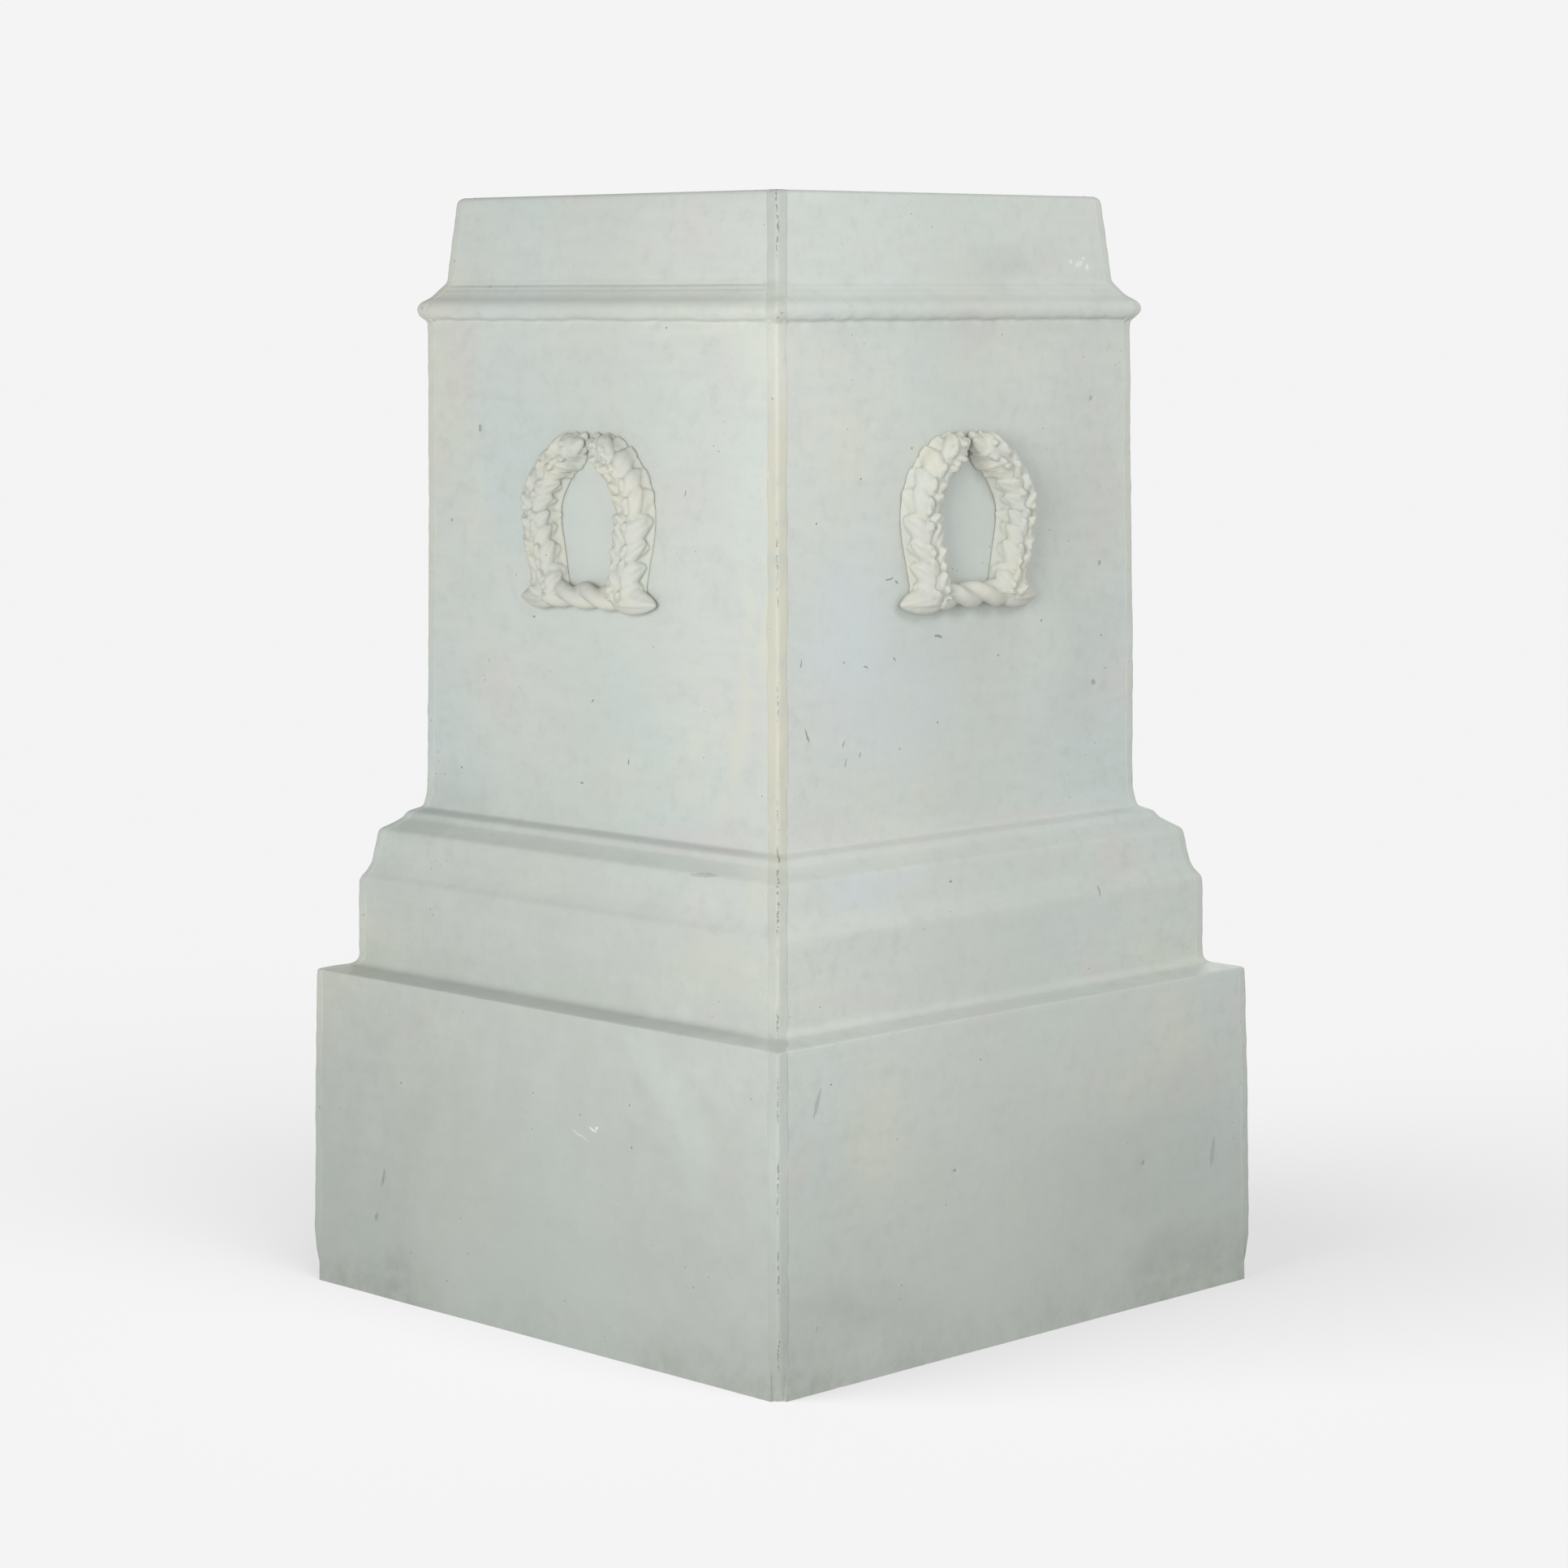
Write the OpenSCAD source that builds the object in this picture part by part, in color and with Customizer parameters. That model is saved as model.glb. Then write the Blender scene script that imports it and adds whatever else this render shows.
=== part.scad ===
// Square cast-plaster pedestal on a softwood frame, with a laurel wreath on each face.
// Millimetres, +Z up, origin at the centre of the foot. Front is -Y, right is +X.
// Every face has the same section, so one panel, corner and wreath serve all four sides.

/* [Overall] */
// Height from the floor to the top face
total_h = 1000; // [900:10:1200]
// Width across the foot of the plinth
plinth_w = 621; // [515:1:750]
// Thickness of the cast panels
wall = 15; // [12:0.5:20]

/* [Plinth] */
// Height of the plinth's face
plinth_h = 294; // [200:1:355]
// How far the plinth's face leans in
plinth_batter = 5; // [0:0.5:10]
// Width of the ledge on top of the plinth
ledge_run = 20; // [10:1:30]
// Fall of that ledge towards the outside
ledge_fall = 4; // [1:0.5:8]
// Radius of the hollow where the ledge meets the base block
ledge_cove = 7.5; // [4:0.5:12]

/* [Base mouldings] */
// Height of the base block's face
block_h = 70; // [50:1:100]
// How far the base block's face leans in
block_batter = 1; // [0:0.5:4]
// Radius of the base block's top edge
block_round = 10; // [6:0.5:12]
// How far the sloping fascia stands back from the block
fascia_set = 8.5; // [8:0.5:14]
// Height from the block's edge to the foot of the fascia
fascia_lift = 18; // [14:0.5:24]
// Height of the sloping fascia
fascia_h = 26; // [18:1:40]
// How far the fascia leans in
fascia_batter = 4; // [0:0.5:8]
// Radius of the fascia's shoulder
shoulder_round = 7; // [4:0.5:9]
// Width of the weathering between the shoulder and the foot bead
weather_run = 12; // [8:0.5:20]
// Rise of that weathering
weather_rise = 8.5; // [5:0.5:14]
// Radius of the small bead at the foot of the die
foot_bead = 5; // [3:0.5:7]
// Width of the slope from the foot bead up to the die
foot_run = 8.5; // [6:0.5:14]
// Rise of that slope
foot_rise = 5; // [3:0.5:9]
// Spread of the die's face where it flares at its foot
flare_run = 2.5; // [1:0.5:5]
// Height of the flare
flare_rise = 14; // [8:1:30]

/* [Die, torus and neck] */
// How far the die's face leans in over its height
die_batter = 4.5; // [2:0.5:10]
// Radius of the torus
torus_r = 11; // [8:0.5:14]
// How far the torus stands out from the top of the die
torus_proj = 7.4; // [5:0.2:9]
// How far the neck's foot is set in from the top of the die
neck_set = 12; // [8:0.5:16]
// Height from the torus to the foot of the neck
cavetto_rise = 15; // [12:0.5:22]
// Height of the neck's leaning face
neck_h = 72; // [50:1:110]
// How far the neck leans in
neck_batter = 7; // [4:0.5:12]
// Radius of the top edge
top_round = 5; // [2:0.5:8]

/* [Corner stoppings] */
// Width of the filled joint, across the diagonal
strip_w = 18; // [12:1:26]
// Depth of the filled joint behind each face
strip_t = 8; // [5:0.5:10]
// Flat rubbed on the arris, measured along the diagonal
strip_flat = 3; // [1:0.5:6]

/* [Wreath] */
// Height of the wreath's centre above the middle of the die
wreath_lift = 36; // [0:1:60]
// Radius of the wreath's ring, to the middle of its branches
ring_r = 61; // [54:1:70]
// Where each branch starts, in degrees below the level of the ring's centre
branch_start = -56; // [-62:1:-50]
// How far each branch runs round the ring, in degrees
branch_sweep = 134; // [120:1:138]
// Bundles of leaves on each branch
bundles = 7; // [5:1:9]
// How far each bundle reaches over the next
bundle_lap = 8; // [4:1:12]
// Half width of a branch at the tips of a bundle
branch_r = 20; // [17:0.5:23]
// Half width of a branch where a bundle starts
bundle_root_r = 15; // [12:0.5:16]
// How far a branch's axis stands out from the die
branch_out = 10; // [6:0.5:12]
// Half length of the tie at the bottom, to the start of its flared ends
tie_half = 48; // [40:1:60]
// Radius of the tie
tie_r = 10; // [8:0.5:12]
// Length of each flared end of the tie
tie_end = 38; // [24:1:44]
// Drop of the tie below the wreath's centre
tie_drop = 66; // [60:1:72]

/* [Frame inside] */
// Side of the planed softwood in posts, rails and bearers
timber = 44; // [36:1:54]
// Gap between the posts and the panels at the top edge
post_gap = 6; // [4:0.5:10]
// Gap between the base rails and the plinth's inner face
base_gap = 3; // [2:0.5:6]
// Thickness of the plywood top board
board_t = 18; // [15:1:25]
// Thickness of the cast top slab
slab_t = 18; // [12:1:25]
// Gap round the top slab and board
slab_gap = 1; // [0.5:0.5:2]
// Height of the waist rails' underside above the plinth's face
waist_lift = 86; // [0:2:120]

/* [Wads and screws] */
// Height of a plaster wad
wad_h = 80; // [50:5:110]
// Height of the lower wads' underside above the foot of the die
wad_low_gap = 40; // [0:5:80]
// Distance of the upper wads' top below the torus
wad_high_gap = 20; // [0:5:80]
// Height of the wads that stand on the base rails
base_wad_h = 60; // [40:5:90]
// Width of a base wad over the rail, from the panel inwards
base_wad_w = 36; // [24:2:42]
// Length of a base wad along each panel
base_wad_l = 120; // [80:5:160]
// Diameter of every screw's shank
screw_d = 5; // [4:0.5:6]
// Diameter of every screw's countersunk head
screw_head_d = 10; // [8:0.5:12]
// Length of the screws in the frame and base
long_screw = 80; // [70:5:90]
// Length of the screws in the top board
short_screw = 45; // [35:5:50]
// Distance of a board screw from the end of the screw that is driven into its rail's end
board_screw_gap = 26.8; // [10:0.2:50]
// How far the two screws that cross in a post are apart, up or down from the rail's middle
screw_stagger = 8; // [7:1:12]

/* [Hidden] */

$fn = 48;
plaster_colour = "#dfe5df";
wreath_colour = "#e6e8e1";
stopping_colour = "#e2e3d8";
wad_colour = "#e9e6dc";
timber_colour = "#c9a877";
plywood_colour = "#cfb083";
steel_colour = "#c9b458";
arc_steps = 8;

// Stations of the section: distance of the face from the axis, and height
plinth_foot = plinth_w / 2;
plinth_top = plinth_foot - plinth_batter;
ledge_in = plinth_top - ledge_run;
ledge_z = plinth_h + ledge_fall;
block_foot = ledge_in - ledge_cove;
block_z = ledge_z + ledge_cove;
block_top = block_foot - block_batter;
arris_z = block_z + block_h;
fascia_foot = block_top - fascia_set;
fascia_z = arris_z + fascia_lift;
fascia_top = fascia_foot - fascia_batter;
shoulder_z = fascia_z + fascia_h;
weather_in = fascia_top - shoulder_round * (1 - cos(75)) - weather_run;
weather_z = shoulder_z + shoulder_round * sin(75) + weather_rise;
bead_in = weather_in - foot_bead;
bead_z = weather_z + foot_bead + 2;
die_foot = bead_in - foot_run - flare_run;
die_z = bead_z + foot_rise + flare_rise;
die_top = die_foot - die_batter;
neck_top = die_top - neck_set - neck_batter;
neck_foot = die_top - neck_set;
neck_z = total_h - neck_h;
torus_z = neck_z - cavetto_rise - torus_r;
torus_c = die_top + torus_proj - torus_r;
torus_low = acos((die_top - torus_c) / torus_r);
wreath_z = (die_z + torus_z) / 2 + wreath_lift;

// Frame inside
post_out = neck_top - wall - post_gap;
post_mid = post_out - timber / 2;
post_in = post_out - timber;
board_half = neck_top - wall - slab_gap;
board_z = total_h - slab_t - board_t;
top_rail_z = board_z - timber;
waist_z = plinth_h + waist_lift;
base_out = plinth_foot - wall - base_gap;
base_mid = base_out - timber / 2;
base_in = base_out - timber;
board_screw_x = post_in - (long_screw - timber) - board_screw_gap;
far = plinth_w;

function arc(c, r, from, to) =
    [for (i = [0:arc_steps]) let (a = from + (to - from) * i / arc_steps) c + r * [cos(a), sin(a)]];

// Outer line of the section from the foot to the top, as [distance from the axis, height]
outline = concat(
    [[plinth_foot, 0], [plinth_top, plinth_h]],
    arc([ledge_in, block_z], ledge_cove, -90, -180),
    arc([block_top - block_round, arris_z], block_round, 0, 55),
    [[fascia_foot, fascia_z]],
    arc([fascia_top - shoulder_round, shoulder_z], shoulder_round, 0, 75),
    [[weather_in, weather_z]],
    arc([weather_in - foot_bead - 1, weather_z + 2], foot_bead, 0, 75),
    [[bead_in - foot_run, bead_z + foot_rise - 2], [die_foot, die_z]],
    arc([torus_c, torus_z], torus_r, -torus_low, 85),
    [[neck_foot, neck_z]],
    arc([neck_top - top_round, total_h - top_round], top_round, 8, 90)
);

// Inner line at a depth t behind the faces, which runs straight behind the small mouldings
function inline(t) = [
    [plinth_foot - t, 0],
    [plinth_top - t, plinth_h - t],
    [block_foot - t, block_z - t],
    [block_top - t, arris_z - t],
    [die_foot - t, die_z - t],
    [die_top - t, torus_z],
    [neck_foot - t, neck_z],
    [neck_top - t, total_h]
];

function reversed(list) = [for (i = [len(list) - 1:-1:0]) list[i]];
function diagonal(line, shift) = [for (p = line) [p.x * sqrt(2) + shift, p.y]];

// Puts its children on side n: 0 front, 1 right, 2 back, 3 left
module at_side(n) {
    rotate([0, 0, 90 * n]) children();
}

// Extrudes a section along the front face; its x runs outwards, its y runs up
module along_face(section) {
    rotate([90, 0, -90])
        linear_extrude(height = far, center = true)
            polygon(section);
}

// The same, square across the front right corner's diagonal
module across_corner(section, width) {
    rotate([0, 0, 45])
        rotate([90, 0, -90])
            linear_extrude(height = width, center = true)
                polygon(section);
}

// Everything behind the front face, back to the axis
module face_bulk() {
    along_face(concat([[0, 0]], outline, [[0, total_h]]));
}

// Space inside the panels
module cavity() {
    intersection_for(side = [0, 1])
        at_side(side)
            rotate([90, 0, -90])
                linear_extrude(height = far, center = true)
                    polygon(concat(
                        inline(wall),
                        [for (p = reversed(inline(wall))) [-p.x, p.y]]
                    ));
}

// Room in the panels' mitre that the stopping fills
module mitre_rebate() {
    across_corner(
        concat(diagonal(inline(strip_t), 0), [[far, total_h], [far, 0]]),
        strip_w
    );
}

module panel() {
    color(plaster_colour)
        difference() {
            intersection() {
                along_face(concat(outline, reversed(inline(wall))));
                linear_extrude(height = total_h)
                    polygon([[0, 0], [-far, -far], [far, -far]]);
            }
            mitre_rebate();
            mirror([1, 0, 0]) mitre_rebate();
        }
}

module corner_strip() {
    color(stopping_colour)
        intersection() {
            face_bulk();
            at_side(1) face_bulk();
            across_corner(
                concat(diagonal(outline, -strip_flat), reversed(diagonal(inline(strip_t), 0))),
                strip_w
            );
        }
}

// One branch of the wreath, as cups of leaves that each open towards the next
module branch() {
    pitch = branch_sweep / bundles;
    for (i = [0:bundles - 1])
        rotate([0, 0, branch_start + pitch * i])
            translate([ring_r, 0, branch_out])
                rotate([-90, 0, 0])
                    cylinder(h = ring_r * pitch * PI / 180 + bundle_lap, r1 = bundle_root_r, r2 = branch_r);
}

// Tie at the bottom: a bar with flared, tapering ends
module tie() {
    for (side = [0, 1])
        mirror([side, 0, 0])
            translate([0, -tie_drop, branch_out])
                rotate([0, 90, 0]) {
                    cylinder(h = tie_half, r = tie_r);
                    translate([0, 0, tie_half]) cylinder(h = tie_end / 2, r1 = tie_r, r2 = tie_r + 3);
                    translate([0, 0, tie_half + tie_end / 2])
                        cylinder(h = tie_end / 2, r1 = tie_r + 3, r2 = tie_r / 2);
                }
}

module wreath() {
    color(wreath_colour)
        difference() {
            translate([0, -die_top, wreath_z])
                rotate([90, 0, 0]) {
                    branch();
                    mirror([1, 0, 0]) branch();
                    tie();
                }
            face_bulk();
        }
}

module top_slab() {
    color(plaster_colour)
        translate([-board_half, -board_half, total_h - slab_t])
            cube([2 * board_half, 2 * board_half, slab_t]);
}

// A countersunk screw with its head's face at the origin, pointing down
module screw(length) {
    head_h = (screw_head_d - screw_d) / 2;
    translate([0, 0, -head_h]) cylinder(h = head_h, d1 = screw_d, d2 = screw_head_d);
    translate([0, 0, -length]) cylinder(h = length - head_h, d = screw_d);
}

module board_screw_places() {
    for (side = [0:3])
        at_side(side)
            for (x = [-board_screw_x, board_screw_x])
                translate([x, -post_mid, board_z + board_t])
                    screw(short_screw);
}

// The two screws into the ends of a rail on the front, through the posts beside it
module rail_screw_places(z) {
    translate([post_out, -post_mid, z + timber / 2 + screw_stagger])
        rotate([0, 90, 0]) screw(long_screw);
    translate([-post_out, -post_mid, z + timber / 2 - screw_stagger])
        rotate([0, -90, 0]) screw(long_screw);
}

module frame_screw_places() {
    for (side = [0:3], z = [waist_z, top_rail_z])
        at_side(side) rail_screw_places(z);
}

// Screws through the front and back base rails, and up through the bearers into the posts
module base_screw_places() {
    for (side = [0, 2])
        at_side(side)
            for (x = [-base_mid, -post_mid, post_mid, base_mid])
                translate([x, -base_out, timber / 2])
                    rotate([90, 0, 0]) screw(long_screw);
    for (x = [-post_mid, post_mid], y = [-post_mid, post_mid])
        translate([x, y, 0]) mirror([0, 0, 1]) screw(long_screw);
}

module top_board() {
    color(plywood_colour)
        difference() {
            translate([-board_half, -board_half, board_z])
                cube([2 * board_half, 2 * board_half, board_t]);
            board_screw_places();
        }
}

module corner_post() {
    color(timber_colour)
        difference() {
            translate([post_in, -post_out, timber])
                cube([timber, timber, board_z - timber]);
            for (z = [waist_z, top_rail_z]) {
                rail_screw_places(z);
                at_side(1) rail_screw_places(z);
            }
            base_screw_places();
        }
}

module frame_rail(z) {
    color(timber_colour)
        difference() {
            translate([-post_in, -post_out, z])
                cube([2 * post_in, timber, timber]);
            rail_screw_places(z);
            board_screw_places();
        }
}

module base_rail_long() {
    color(timber_colour)
        difference() {
            translate([-base_out, -base_out, 0])
                cube([2 * base_out, timber, timber]);
            base_screw_places();
        }
}

module base_rail_short() {
    color(timber_colour)
        difference() {
            translate([base_in, -base_in, 0])
                cube([timber, 2 * base_in, timber]);
            base_screw_places();
        }
}

module base_bearer() {
    color(timber_colour)
        difference() {
            translate([post_in, -base_in, 0])
                cube([timber, 2 * base_in, timber]);
            base_screw_places();
        }
}

// An angle of plaster between the front right corner of the panels and a square corner inside it
module wad(z, height, inner, reach) {
    intersection() {
        cavity();
        translate([0, 0, z])
            difference() {
                translate([reach, -far, 0]) cube([far - reach, far - reach, height]);
                translate([0, -inner, -1]) cube([inner, inner, height + 2]);
            }
    }
}

module plaster_wads() {
    base_inner = plinth_foot - wall - base_wad_w;
    color(wad_colour) {
        wad(timber, base_wad_h, base_inner, plinth_foot - wall - base_wad_l);
        wad(die_z + wad_low_gap, wad_h, post_out, post_in);
        wad(torus_z - wad_high_gap - wad_h, wad_h, post_out, post_in);
    }
}

at_side(0) panel();  // panel_front
at_side(1) panel();  // panel_right
at_side(2) panel();  // panel_back
at_side(3) panel();  // panel_left
at_side(0) wreath();  // wreath_front
at_side(1) wreath();  // wreath_right
at_side(2) wreath();  // wreath_back
at_side(3) wreath();  // wreath_left
at_side(0) corner_strip();  // corner_strip_front_right
at_side(1) corner_strip();  // corner_strip_back_right
at_side(2) corner_strip();  // corner_strip_back_left
at_side(3) corner_strip();  // corner_strip_front_left
top_slab();
top_board();
at_side(0) corner_post();  // corner_post_front_right
at_side(1) corner_post();  // corner_post_back_right
at_side(2) corner_post();  // corner_post_back_left
at_side(3) corner_post();  // corner_post_front_left
at_side(0) frame_rail(top_rail_z);  // top_rail_front
at_side(1) frame_rail(top_rail_z);  // top_rail_right
at_side(2) frame_rail(top_rail_z);  // top_rail_back
at_side(3) frame_rail(top_rail_z);  // top_rail_left
at_side(0) frame_rail(waist_z);  // waist_rail_front
at_side(1) frame_rail(waist_z);  // waist_rail_right
at_side(2) frame_rail(waist_z);  // waist_rail_back
at_side(3) frame_rail(waist_z);  // waist_rail_left
at_side(0) base_rail_long();  // base_rail_front
at_side(2) base_rail_long();  // base_rail_back
base_rail_short();  // base_rail_right
mirror([1, 0, 0]) base_rail_short();  // base_rail_left
base_bearer();  // base_bearer_right
mirror([1, 0, 0]) base_bearer();  // base_bearer_left
at_side(0) plaster_wads();  // plaster_wads_front_right
at_side(1) plaster_wads();  // plaster_wads_back_right
at_side(2) plaster_wads();  // plaster_wads_back_left
at_side(3) plaster_wads();  // plaster_wads_front_left
color(steel_colour) board_screw_places();  // board_screws
color(steel_colour) frame_screw_places();  // frame_screws
color(steel_colour) base_screw_places();  // base_screws
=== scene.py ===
"""Looks of a square cast-plaster pedestal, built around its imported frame.

Metres, +Z up, front -Y, right +X, origin at the centre of the foot. The four face panels,
corner stoppings and wreaths are modelled again with their real surface; the timber frame inside
keeps its shape and gets its wood; the wads and screws that show from below are made rough and real.
"""

import logging
import math
import random
from collections.abc import Callable, Sequence
from dataclasses import dataclass, field
from enum import Enum

import bmesh
import bpy
from mathutils import Matrix, Vector, noise


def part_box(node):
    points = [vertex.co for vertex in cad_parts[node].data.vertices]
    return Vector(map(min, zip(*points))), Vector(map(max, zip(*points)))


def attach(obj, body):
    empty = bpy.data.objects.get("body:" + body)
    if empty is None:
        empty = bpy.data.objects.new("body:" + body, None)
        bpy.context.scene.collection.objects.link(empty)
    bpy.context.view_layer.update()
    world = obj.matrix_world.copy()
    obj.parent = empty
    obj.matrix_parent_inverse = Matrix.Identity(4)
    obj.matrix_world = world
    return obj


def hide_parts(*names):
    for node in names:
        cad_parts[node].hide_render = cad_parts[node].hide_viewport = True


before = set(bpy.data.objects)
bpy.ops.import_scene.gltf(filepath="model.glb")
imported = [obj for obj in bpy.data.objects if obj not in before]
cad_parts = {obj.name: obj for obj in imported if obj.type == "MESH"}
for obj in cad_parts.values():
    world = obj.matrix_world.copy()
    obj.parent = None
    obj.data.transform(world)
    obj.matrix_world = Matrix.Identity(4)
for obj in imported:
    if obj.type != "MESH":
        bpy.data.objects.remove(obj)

# Short names for the types in the signatures.
Tree = bpy.types.NodeTree
Socket = bpy.types.NodeSocket
Finish = bpy.types.Material
Piece = bpy.types.Object
Shape = bmesh.types.BMesh

LOG = logging.getLogger("pedestal")
MM = 0.001
ROOT = "root"
WELD = 1e-6
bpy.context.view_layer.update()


class Side(Enum):
    """The four faces, counted anticlockwise from the front as seen from above."""

    FRONT = 0
    RIGHT = 1
    BACK = 2
    LEFT = 3

    @property
    def turn(self) -> Matrix:
        """Rotation that carries the front face to this side."""
        return Matrix.Rotation(math.radians(90 * self.value), 4, "Z")


class Corner(Enum):
    """The four corners; each is the right-hand end of the face with the same number."""

    FRONT_RIGHT = 0
    BACK_RIGHT = 1
    BACK_LEFT = 2
    FRONT_LEFT = 3

    @property
    def turn(self) -> Matrix:
        """Rotation that carries the front right corner to this one."""
        return Matrix.Rotation(math.radians(90 * self.value), 4, "Z")


class Grain(Enum):
    """Axis that a piece of timber's grain runs along."""

    X = (0.0, math.pi / 2, 0.0)
    Y = (math.pi / 2, 0.0, 0.0)
    Z = (0.0, 0.0, 0.0)


# ---------------------------------------------------------------- small helpers


def smoothstep(low: float, high: float, value: float) -> float:
    """Eases from 0 at low to 1 at high."""
    share = min(1.0, max(0.0, (value - low) / (high - low)))
    return share * share * (3 - 2 * share)


def bell(value: float, width: float) -> float:
    """1 at zero, falling away over about the given width."""
    return math.exp(-((value / width) ** 2))


def linear(code: str) -> tuple[float, float, float, float]:
    """Turns an sRGB hex colour into the linear values that shaders take.

    Args:
        code: Colour such as "#c8cdc7".

    Returns:
        Linear red, green and blue, and an alpha of 1.
    """
    parts = [int(code[i : i + 2], 16) / 255 for i in (1, 3, 5)]
    red, green, blue = (p / 12.92 if p <= 0.04045 else ((p + 0.055) / 1.055) ** 2.4 for p in parts)
    return red, green, blue, 1.0


def arc(centre: tuple[float, float], radius: float, start: float, end: float,
        steps: int = 12) -> list[Vector]:
    """Points along an arc, from one angle in degrees to another."""
    angles = (math.radians(start + (end - start) * i / steps) for i in range(steps + 1))
    return [Vector((centre[0] + radius * math.cos(a), centre[1] + radius * math.sin(a))) for a in angles]


def resample(line: Sequence[Vector], pitch: float) -> list[Vector]:
    """Points along a line at an even pitch, with both of its ends kept.

    Args:
        line: Points of the line.
        pitch: Wanted distance between points.

    Returns:
        The new points.
    """
    lengths = [(b - a).length for a, b in zip(line, line[1:])]
    count = max(1, round(sum(lengths) / pitch))
    step = sum(lengths) / count
    points, index, passed = [], 0, 0.0
    for i in range(count + 1):
        reach = min(i * step, sum(lengths))
        while index < len(lengths) - 1 and passed + lengths[index] < reach:
            passed += lengths[index]
            index += 1
        share = min(1.0, (reach - passed) / lengths[index])
        points.append(line[index].lerp(line[index + 1], share))
    return points


def relaxed(line: Sequence[Vector], sigma: float) -> list[Vector]:
    """A line rounded by a moving average, with both of its ends held.

    Args:
        line: Evenly spaced points.
        sigma: Width of the average, in points.

    Returns:
        The rounded points.
    """
    reach = math.ceil(3 * sigma)
    weights = [math.exp(-((k / sigma) ** 2) / 2) for k in range(-reach, reach + 1)]
    total = sum(weights)
    last = len(line) - 1

    def at(index: int) -> Vector:
        """Point at an index, carried on past the ends by reflection."""
        if index < 0:
            return 2 * line[0] - line[-index]
        if index > last:
            return 2 * line[last] - line[2 * last - index]
        return line[index]

    rounded = []
    for i in range(len(line)):
        spot = Vector((0.0, 0.0))
        for k, weight in enumerate(weights):
            spot += at(i + k - reach) * weight
        rounded.append(spot / total)
    return rounded


def curve_point(points: Sequence[Vector], share: float) -> Vector:
    """Point on a smooth curve through given points, at a share of its way."""
    spans = len(points) - 1
    index = min(int(share * spans), spans - 1)
    t = share * spans - index
    a = points[max(index - 1, 0)]
    b, c = points[index], points[index + 1]
    d = points[min(index + 2, spans)]
    return 0.5 * ((2 * b) + (c - a) * t + (2 * a - 5 * b + 4 * c - d) * t**2 + (3 * b - a - 3 * c + d) * t**3)


def face_outwards(shape: Shape) -> None:
    """Turns every face of a closed shape outwards."""
    bmesh.ops.recalc_face_normals(shape, faces=shape.faces)
    if shape.calc_volume(signed=True) < 0:
        bmesh.ops.reverse_faces(shape, faces=shape.faces)
    shape.normal_update()


def wrapped_grid(rows: int, columns: int, place: Callable[[int, int], Vector]) -> Shape:
    """A closed band made from a grid whose last row meets its first, with its open ends filled.

    Args:
        rows: Steps round the band.
        columns: Steps along it.
        place: Gives the point for a row and a column.

    Returns:
        The closed shape, with its faces outwards.
    """
    band = bmesh.new()
    bmesh.ops.create_grid(band, x_segments=rows, y_segments=columns, size=1.0)
    for vertex in band.verts:
        row = round((vertex.co.x + 1) / 2 * rows) % rows
        column = round((vertex.co.y + 1) / 2 * columns)
        vertex.co = place(row, column)
    bmesh.ops.remove_doubles(band, verts=band.verts, dist=WELD)
    ends = [edge for edge in band.edges if edge.is_boundary]
    caps = bmesh.ops.holes_fill(band, edges=ends, sides=0)["faces"]
    bmesh.ops.triangulate(band, faces=caps, ngon_method="EAR_CLIP")
    face_outwards(band)
    return band


def settle(
    shape: Shape,
    name: str,
    finish: Finish,
    nodes: Sequence[str],
    crease: float = 50.0,
) -> Piece:
    """Makes a finished shape an object that rides on the pedestal and stands for CAD nodes.

    Args:
        shape: The finished shape, which is freed.
        name: Name of the piece.
        finish: Its material.
        nodes: CAD nodes that it replaces.
        crease: Angle in degrees above which an edge stays sharp.

    Returns:
        The new object.
    """
    mesh = bpy.data.meshes.new(name)
    shape.to_mesh(mesh)
    shape.free()
    mesh.materials.append(finish)
    mesh.shade_smooth()
    mesh.set_sharp_from_angle(angle=math.radians(crease))
    piece = bpy.data.objects.new(name, mesh)
    bpy.context.scene.collection.objects.link(piece)
    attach(piece, ROOT)
    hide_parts(*nodes)
    LOG.info("%s: %d faces", name, len(mesh.polygons))
    return piece


def modified(shape: Shape, *settings: dict[str, object]) -> Shape:
    """Runs modifiers over a shape and gives their result back.

    Args:
        shape: The shape, which is freed.
        settings: For each modifier, its type under "type" and its own settings.

    Returns:
        The new shape.
    """
    mesh = bpy.data.meshes.new("working")
    shape.to_mesh(mesh)
    shape.free()
    holder = bpy.data.objects.new("working", mesh)
    bpy.context.scene.collection.objects.link(holder)
    for number, values in enumerate(settings):
        modifier = holder.modifiers.new(f"step_{number}", values["type"])
        for key, value in values.items():
            if key != "type":
                setattr(modifier, key, value)
    graph = bpy.context.evaluated_depsgraph_get()
    result = bmesh.new()
    result.from_mesh(holder.evaluated_get(graph).to_mesh())
    bpy.data.objects.remove(holder)
    bpy.data.meshes.remove(mesh)
    return result


def islands(shape: Shape) -> list[list[bmesh.types.BMVert]]:
    """The vertices of each loose solid in a shape, the smallest solid first."""
    unseen, found = set(shape.verts), []
    while unseen:
        todo, island = [unseen.pop()], []
        while todo:
            vertex = todo.pop()
            island.append(vertex)
            fresh = {edge.other_vert(vertex) for edge in vertex.link_edges} & unseen
            unseen -= fresh
            todo.extend(fresh)
        found.append(island)
    return sorted(found, key=len)


def keep_largest(shape: Shape) -> None:
    """Deletes every loose island of a shape but its largest one."""
    for island in islands(shape)[:-1]:
        bmesh.ops.delete(shape, geom=island, context="VERTS")


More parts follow.
